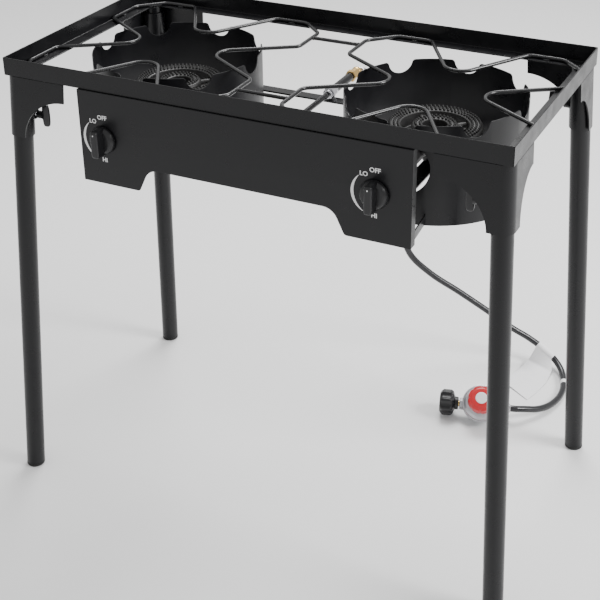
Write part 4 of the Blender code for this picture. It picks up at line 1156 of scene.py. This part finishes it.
nut_end, sleeve_end = NUT_LENGTH, NUT_LENGTH + SLEEVE_LENGTH
sleeve_profile = [(nut_end - 0.001, 0.007), (nut_end, 0.0078)] + crimps(nut_end + 0.0015, 0.008, 5)
sleeve_profile += [(sleeve_end - 0.0006, 0.008), (sleeve_end, 0.0074)]
hexagon = [(0, 0.0094), (0.001, 0.0105), (nut_end - 0.002, 0.0105), (nut_end - 0.001, 0.0094)]
nut_solids = [(hexagon, 6), (sleeve_profile, 48)]
hose_nut = turned(
    "swivel_nut", NUT_START, INLET_DIP, nut_solids, zinc_plate, ["hose_nut"], smooth=28
)


# Regulator
# A die-cast body with a crimped rim, a hexagon on the tank side and a crimped tail for the hose. A red
# scalloped knob with a white cap sets the pressure. It lies on the ground on its rim.

cast_zinc = surface(
    "cast_zinc", (0.56, 0.56, 0.58), (0.44, 0.44, 0.46), 0.42, 0.85, grain=90, speckle=900, bump=0.00012
)
red_plastic = surface("red_plastic", (0.46, 0.012, 0.018), (0.55, 0.018, 0.024), 0.3, grain=60, coat=0.2)
white_plastic = surface("white_plastic", (0.82, 0.82, 0.82), (0.76, 0.76, 0.76), 0.35, grain=90)

TILT = radians(52)
knob_axis = Vector((FLOW.y * cos(TILT), -FLOW.x * cos(TILT), sin(TILT)))
disc_centre = PORT + knob_axis * 0.012
NECK_REACH = 0.048

regulator_mesh = bmesh.new()
body_profile = [(-0.028, 0.011), (-0.0272, 0.013), (-0.0255, 0.018), (-0.018, 0.0215), (-0.011, 0.0245)]
body_profile += [(-0.006, 0.03), (-0.0042, 0.0335), (-0.003, 0.0348), (-0.0016, 0.035), (0.0016, 0.035)]
body_profile += [(0.003, 0.0346), (0.0036, 0.0334), (0.0034, 0.0322), (0.0052, 0.0308), (0.0095, 0.0285)]
body_profile += [(0.0118, 0.024), (0.0124, 0.02), (0.014, 0.0188)]
turn(regulator_mesh, body_profile, disc_centre, knob_axis, 72)
turn(regulator_mesh, [(0, 0.0098), (0.02, 0.0098), (0.021, 0.0088)], PORT, FLOW, 40)
turn(regulator_mesh, [(0.018, 0.009), (0.019, 0.0102), (0.029, 0.0102), (0.03, 0.009)], PORT, FLOW, 6)
turn(regulator_mesh, [(0, 0.012), (0.026, 0.0115), (0.028, 0.01)], PORT, -FLOW, 40)
turn(regulator_mesh, [(0.027, 0.0098), (0.028, 0.011), (0.039, 0.011), (0.04, 0.0098)], PORT, -FLOW, 6)
regulator_body = finished(
    "regulator_casting", regulator_mesh, cast_zinc, ["regulator_body"], smooth=28
)
tail_profile = [(0.029, 0.007), (0.03, 0.0082)] + crimps(0.0315, 0.0082, 4)
tail_profile += [(TAIL_REACH - 0.0006, 0.0082), (TAIL_REACH, 0.0076)]
tail = turned("crimped_tail", PORT, FLOW, [(tail_profile, 48)], zinc_plate, smooth=28)
nipple = [(0.038, 0.0055), (NECK_REACH + 0.004, 0.0055), (NECK_REACH + 0.005, 0.0085)]
nipple.append((NECK_REACH + 0.009, 0.0085))
nipple += [(NECK_REACH + 0.01, 0.0055), (NECK_REACH + 0.024, 0.005), (NECK_REACH + 0.027, 0.0038)]
nipple.append((NECK_REACH + 0.028, 0.003))
nipple_piece = turned("tank_nipple", PORT, -FLOW, [(nipple, 40)], brass, smooth=28)


def scallops(angle):
    """Eight shallow finger scallops round the red knob."""
    return 1 - 0.055 * max(0, cos(8 * angle)) ** 2


red_mesh = bmesh.new()
knob_start = disc_centre + knob_axis * (0.014 + CLEARANCE)
red_profile = [(0, 0.0225), (0.001, 0.0242), (0.006, 0.0252), (0.015, 0.0246)]
red_profile += [(0.0178, 0.0236), (0.0192, 0.0215)]
turn(red_mesh, red_profile, knob_start, knob_axis, 96, ripple=scallops)
red_face = [(0.0185, 0.0205), (0.02, 0.019), (0.0206, 0.0165), (0.0208, 0.011)]
turn(red_mesh, red_face, knob_start, knob_axis, 64)
body = "regulator_knob_body"
red_knob = finished("red_knob", red_mesh, red_plastic, ["regulator_knob"], body, 35)
cap = [([(0.02, 0.0108), (0.0212, 0.0106), (0.0218, 0.0098), (0.022, 0.008)], 48)]
knob_cap = turned("white_cap", knob_start, knob_axis, cap, white_plastic, (), body)


# Tank hand nut
# A black moulded nut with eight finger ribs turns on the nipple's neck and draws it into the tank's valve.

FINGER_RIBS = 8
nut_start = PORT - FLOW * (NECK_REACH - 0.006)
hand_nut_mesh = bmesh.new()
side_way, up_way = square_to(-FLOW)
# (distance along, radius, height of the ribs), down the outside and back up the inside
nut_profile = [(0, 0.0105, 0), (0.0008, 0.0115, 0), (0.006, 0.0118, 0), (0.0078, 0.015, 0.0006)]
nut_profile += [(0.0095, 0.019, 0.0014), (0.012, 0.0208, 0.0022), (0.015, 0.0215, 0.0026)]
nut_profile += [(0.028, 0.0215, 0.0024), (0.0315, 0.02, 0.001), (0.0336, 0.018, 0), (0.034, 0.0172, 0)]
nut_profile += [(0.034, 0.0142, 0), (0.018, 0.0135, 0), (0.018, 0.0095, 0), (0.009, 0.0095, 0)]
nut_profile += [(0.008, 0.006, 0), (0, 0.006, 0)]
hand_nut_rings = []
for along, radius, rib in nut_profile:
    ring = []
    for k in range(128):
        angle = 2 * pi * k / 128
        swell = cos(FINGER_RIBS * angle)
        reach = radius + rib * copysign(abs(swell) ** 0.6, swell) * (1 if swell > 0 else 0.5)
        offset = (side_way * cos(angle) + up_way * sin(angle)) * reach
        ring.append(nut_start - FLOW * along + offset)
    hand_nut_rings.append(ring)
loft(hand_nut_mesh, hand_nut_rings, True)
body = "tank_nut_body"
hand_nut = finished("ribbed_hand_nut", hand_nut_mesh, black_plastic, ["tank_nut"], body, 40)

hose_fittings = [hose_nut, hose_band, hose_label, regulator_body, tail, nipple_piece]
hose_fittings += [red_knob, knob_cap, hand_nut]


# Studio
# A pale floor under a pale surround. One broad soft light stands to the right of the stand, and another is
# above and behind it.

floor_mesh = bmesh.new()
bmesh.ops.create_grid(floor_mesh, x_segments=1, y_segments=1, size=12)
floor_data = plain_mesh("floor", floor_mesh)
floor_paint = surface("floor_paint", (0.86, 0.86, 0.86), (0.84, 0.84, 0.84), 0.9, grain=2, bump=0)
floor_data.materials.append(floor_paint)
floor = placed("floor", floor_data)

world = bpy.data.worlds.new("surround")
world.use_nodes = True
world.node_tree.nodes["Background"].inputs["Color"].default_value = (1, 1, 1, 1)
world.node_tree.nodes["Background"].inputs["Strength"].default_value = 0.85
bpy.context.scene.world = world


def soft_light(name, place, target, size, power):
    """A round lamp aimed at a target."""
    data = bpy.data.lights.new(name, "AREA")
    data.shape = "DISK"
    data.size = size
    data.energy = power
    light = placed(name, data)
    light.location = place
    light.rotation_euler = (Vector(target) - Vector(place)).to_track_quat("-Z", "Y").to_euler()


soft_light("key", (2.8, 0.4, 2.2), (0, 0, 0.5), 1.4, 120)
soft_light("top", (-0.4, 1.6, 3.0), (0, 0, 0.6), 1.6, 90)
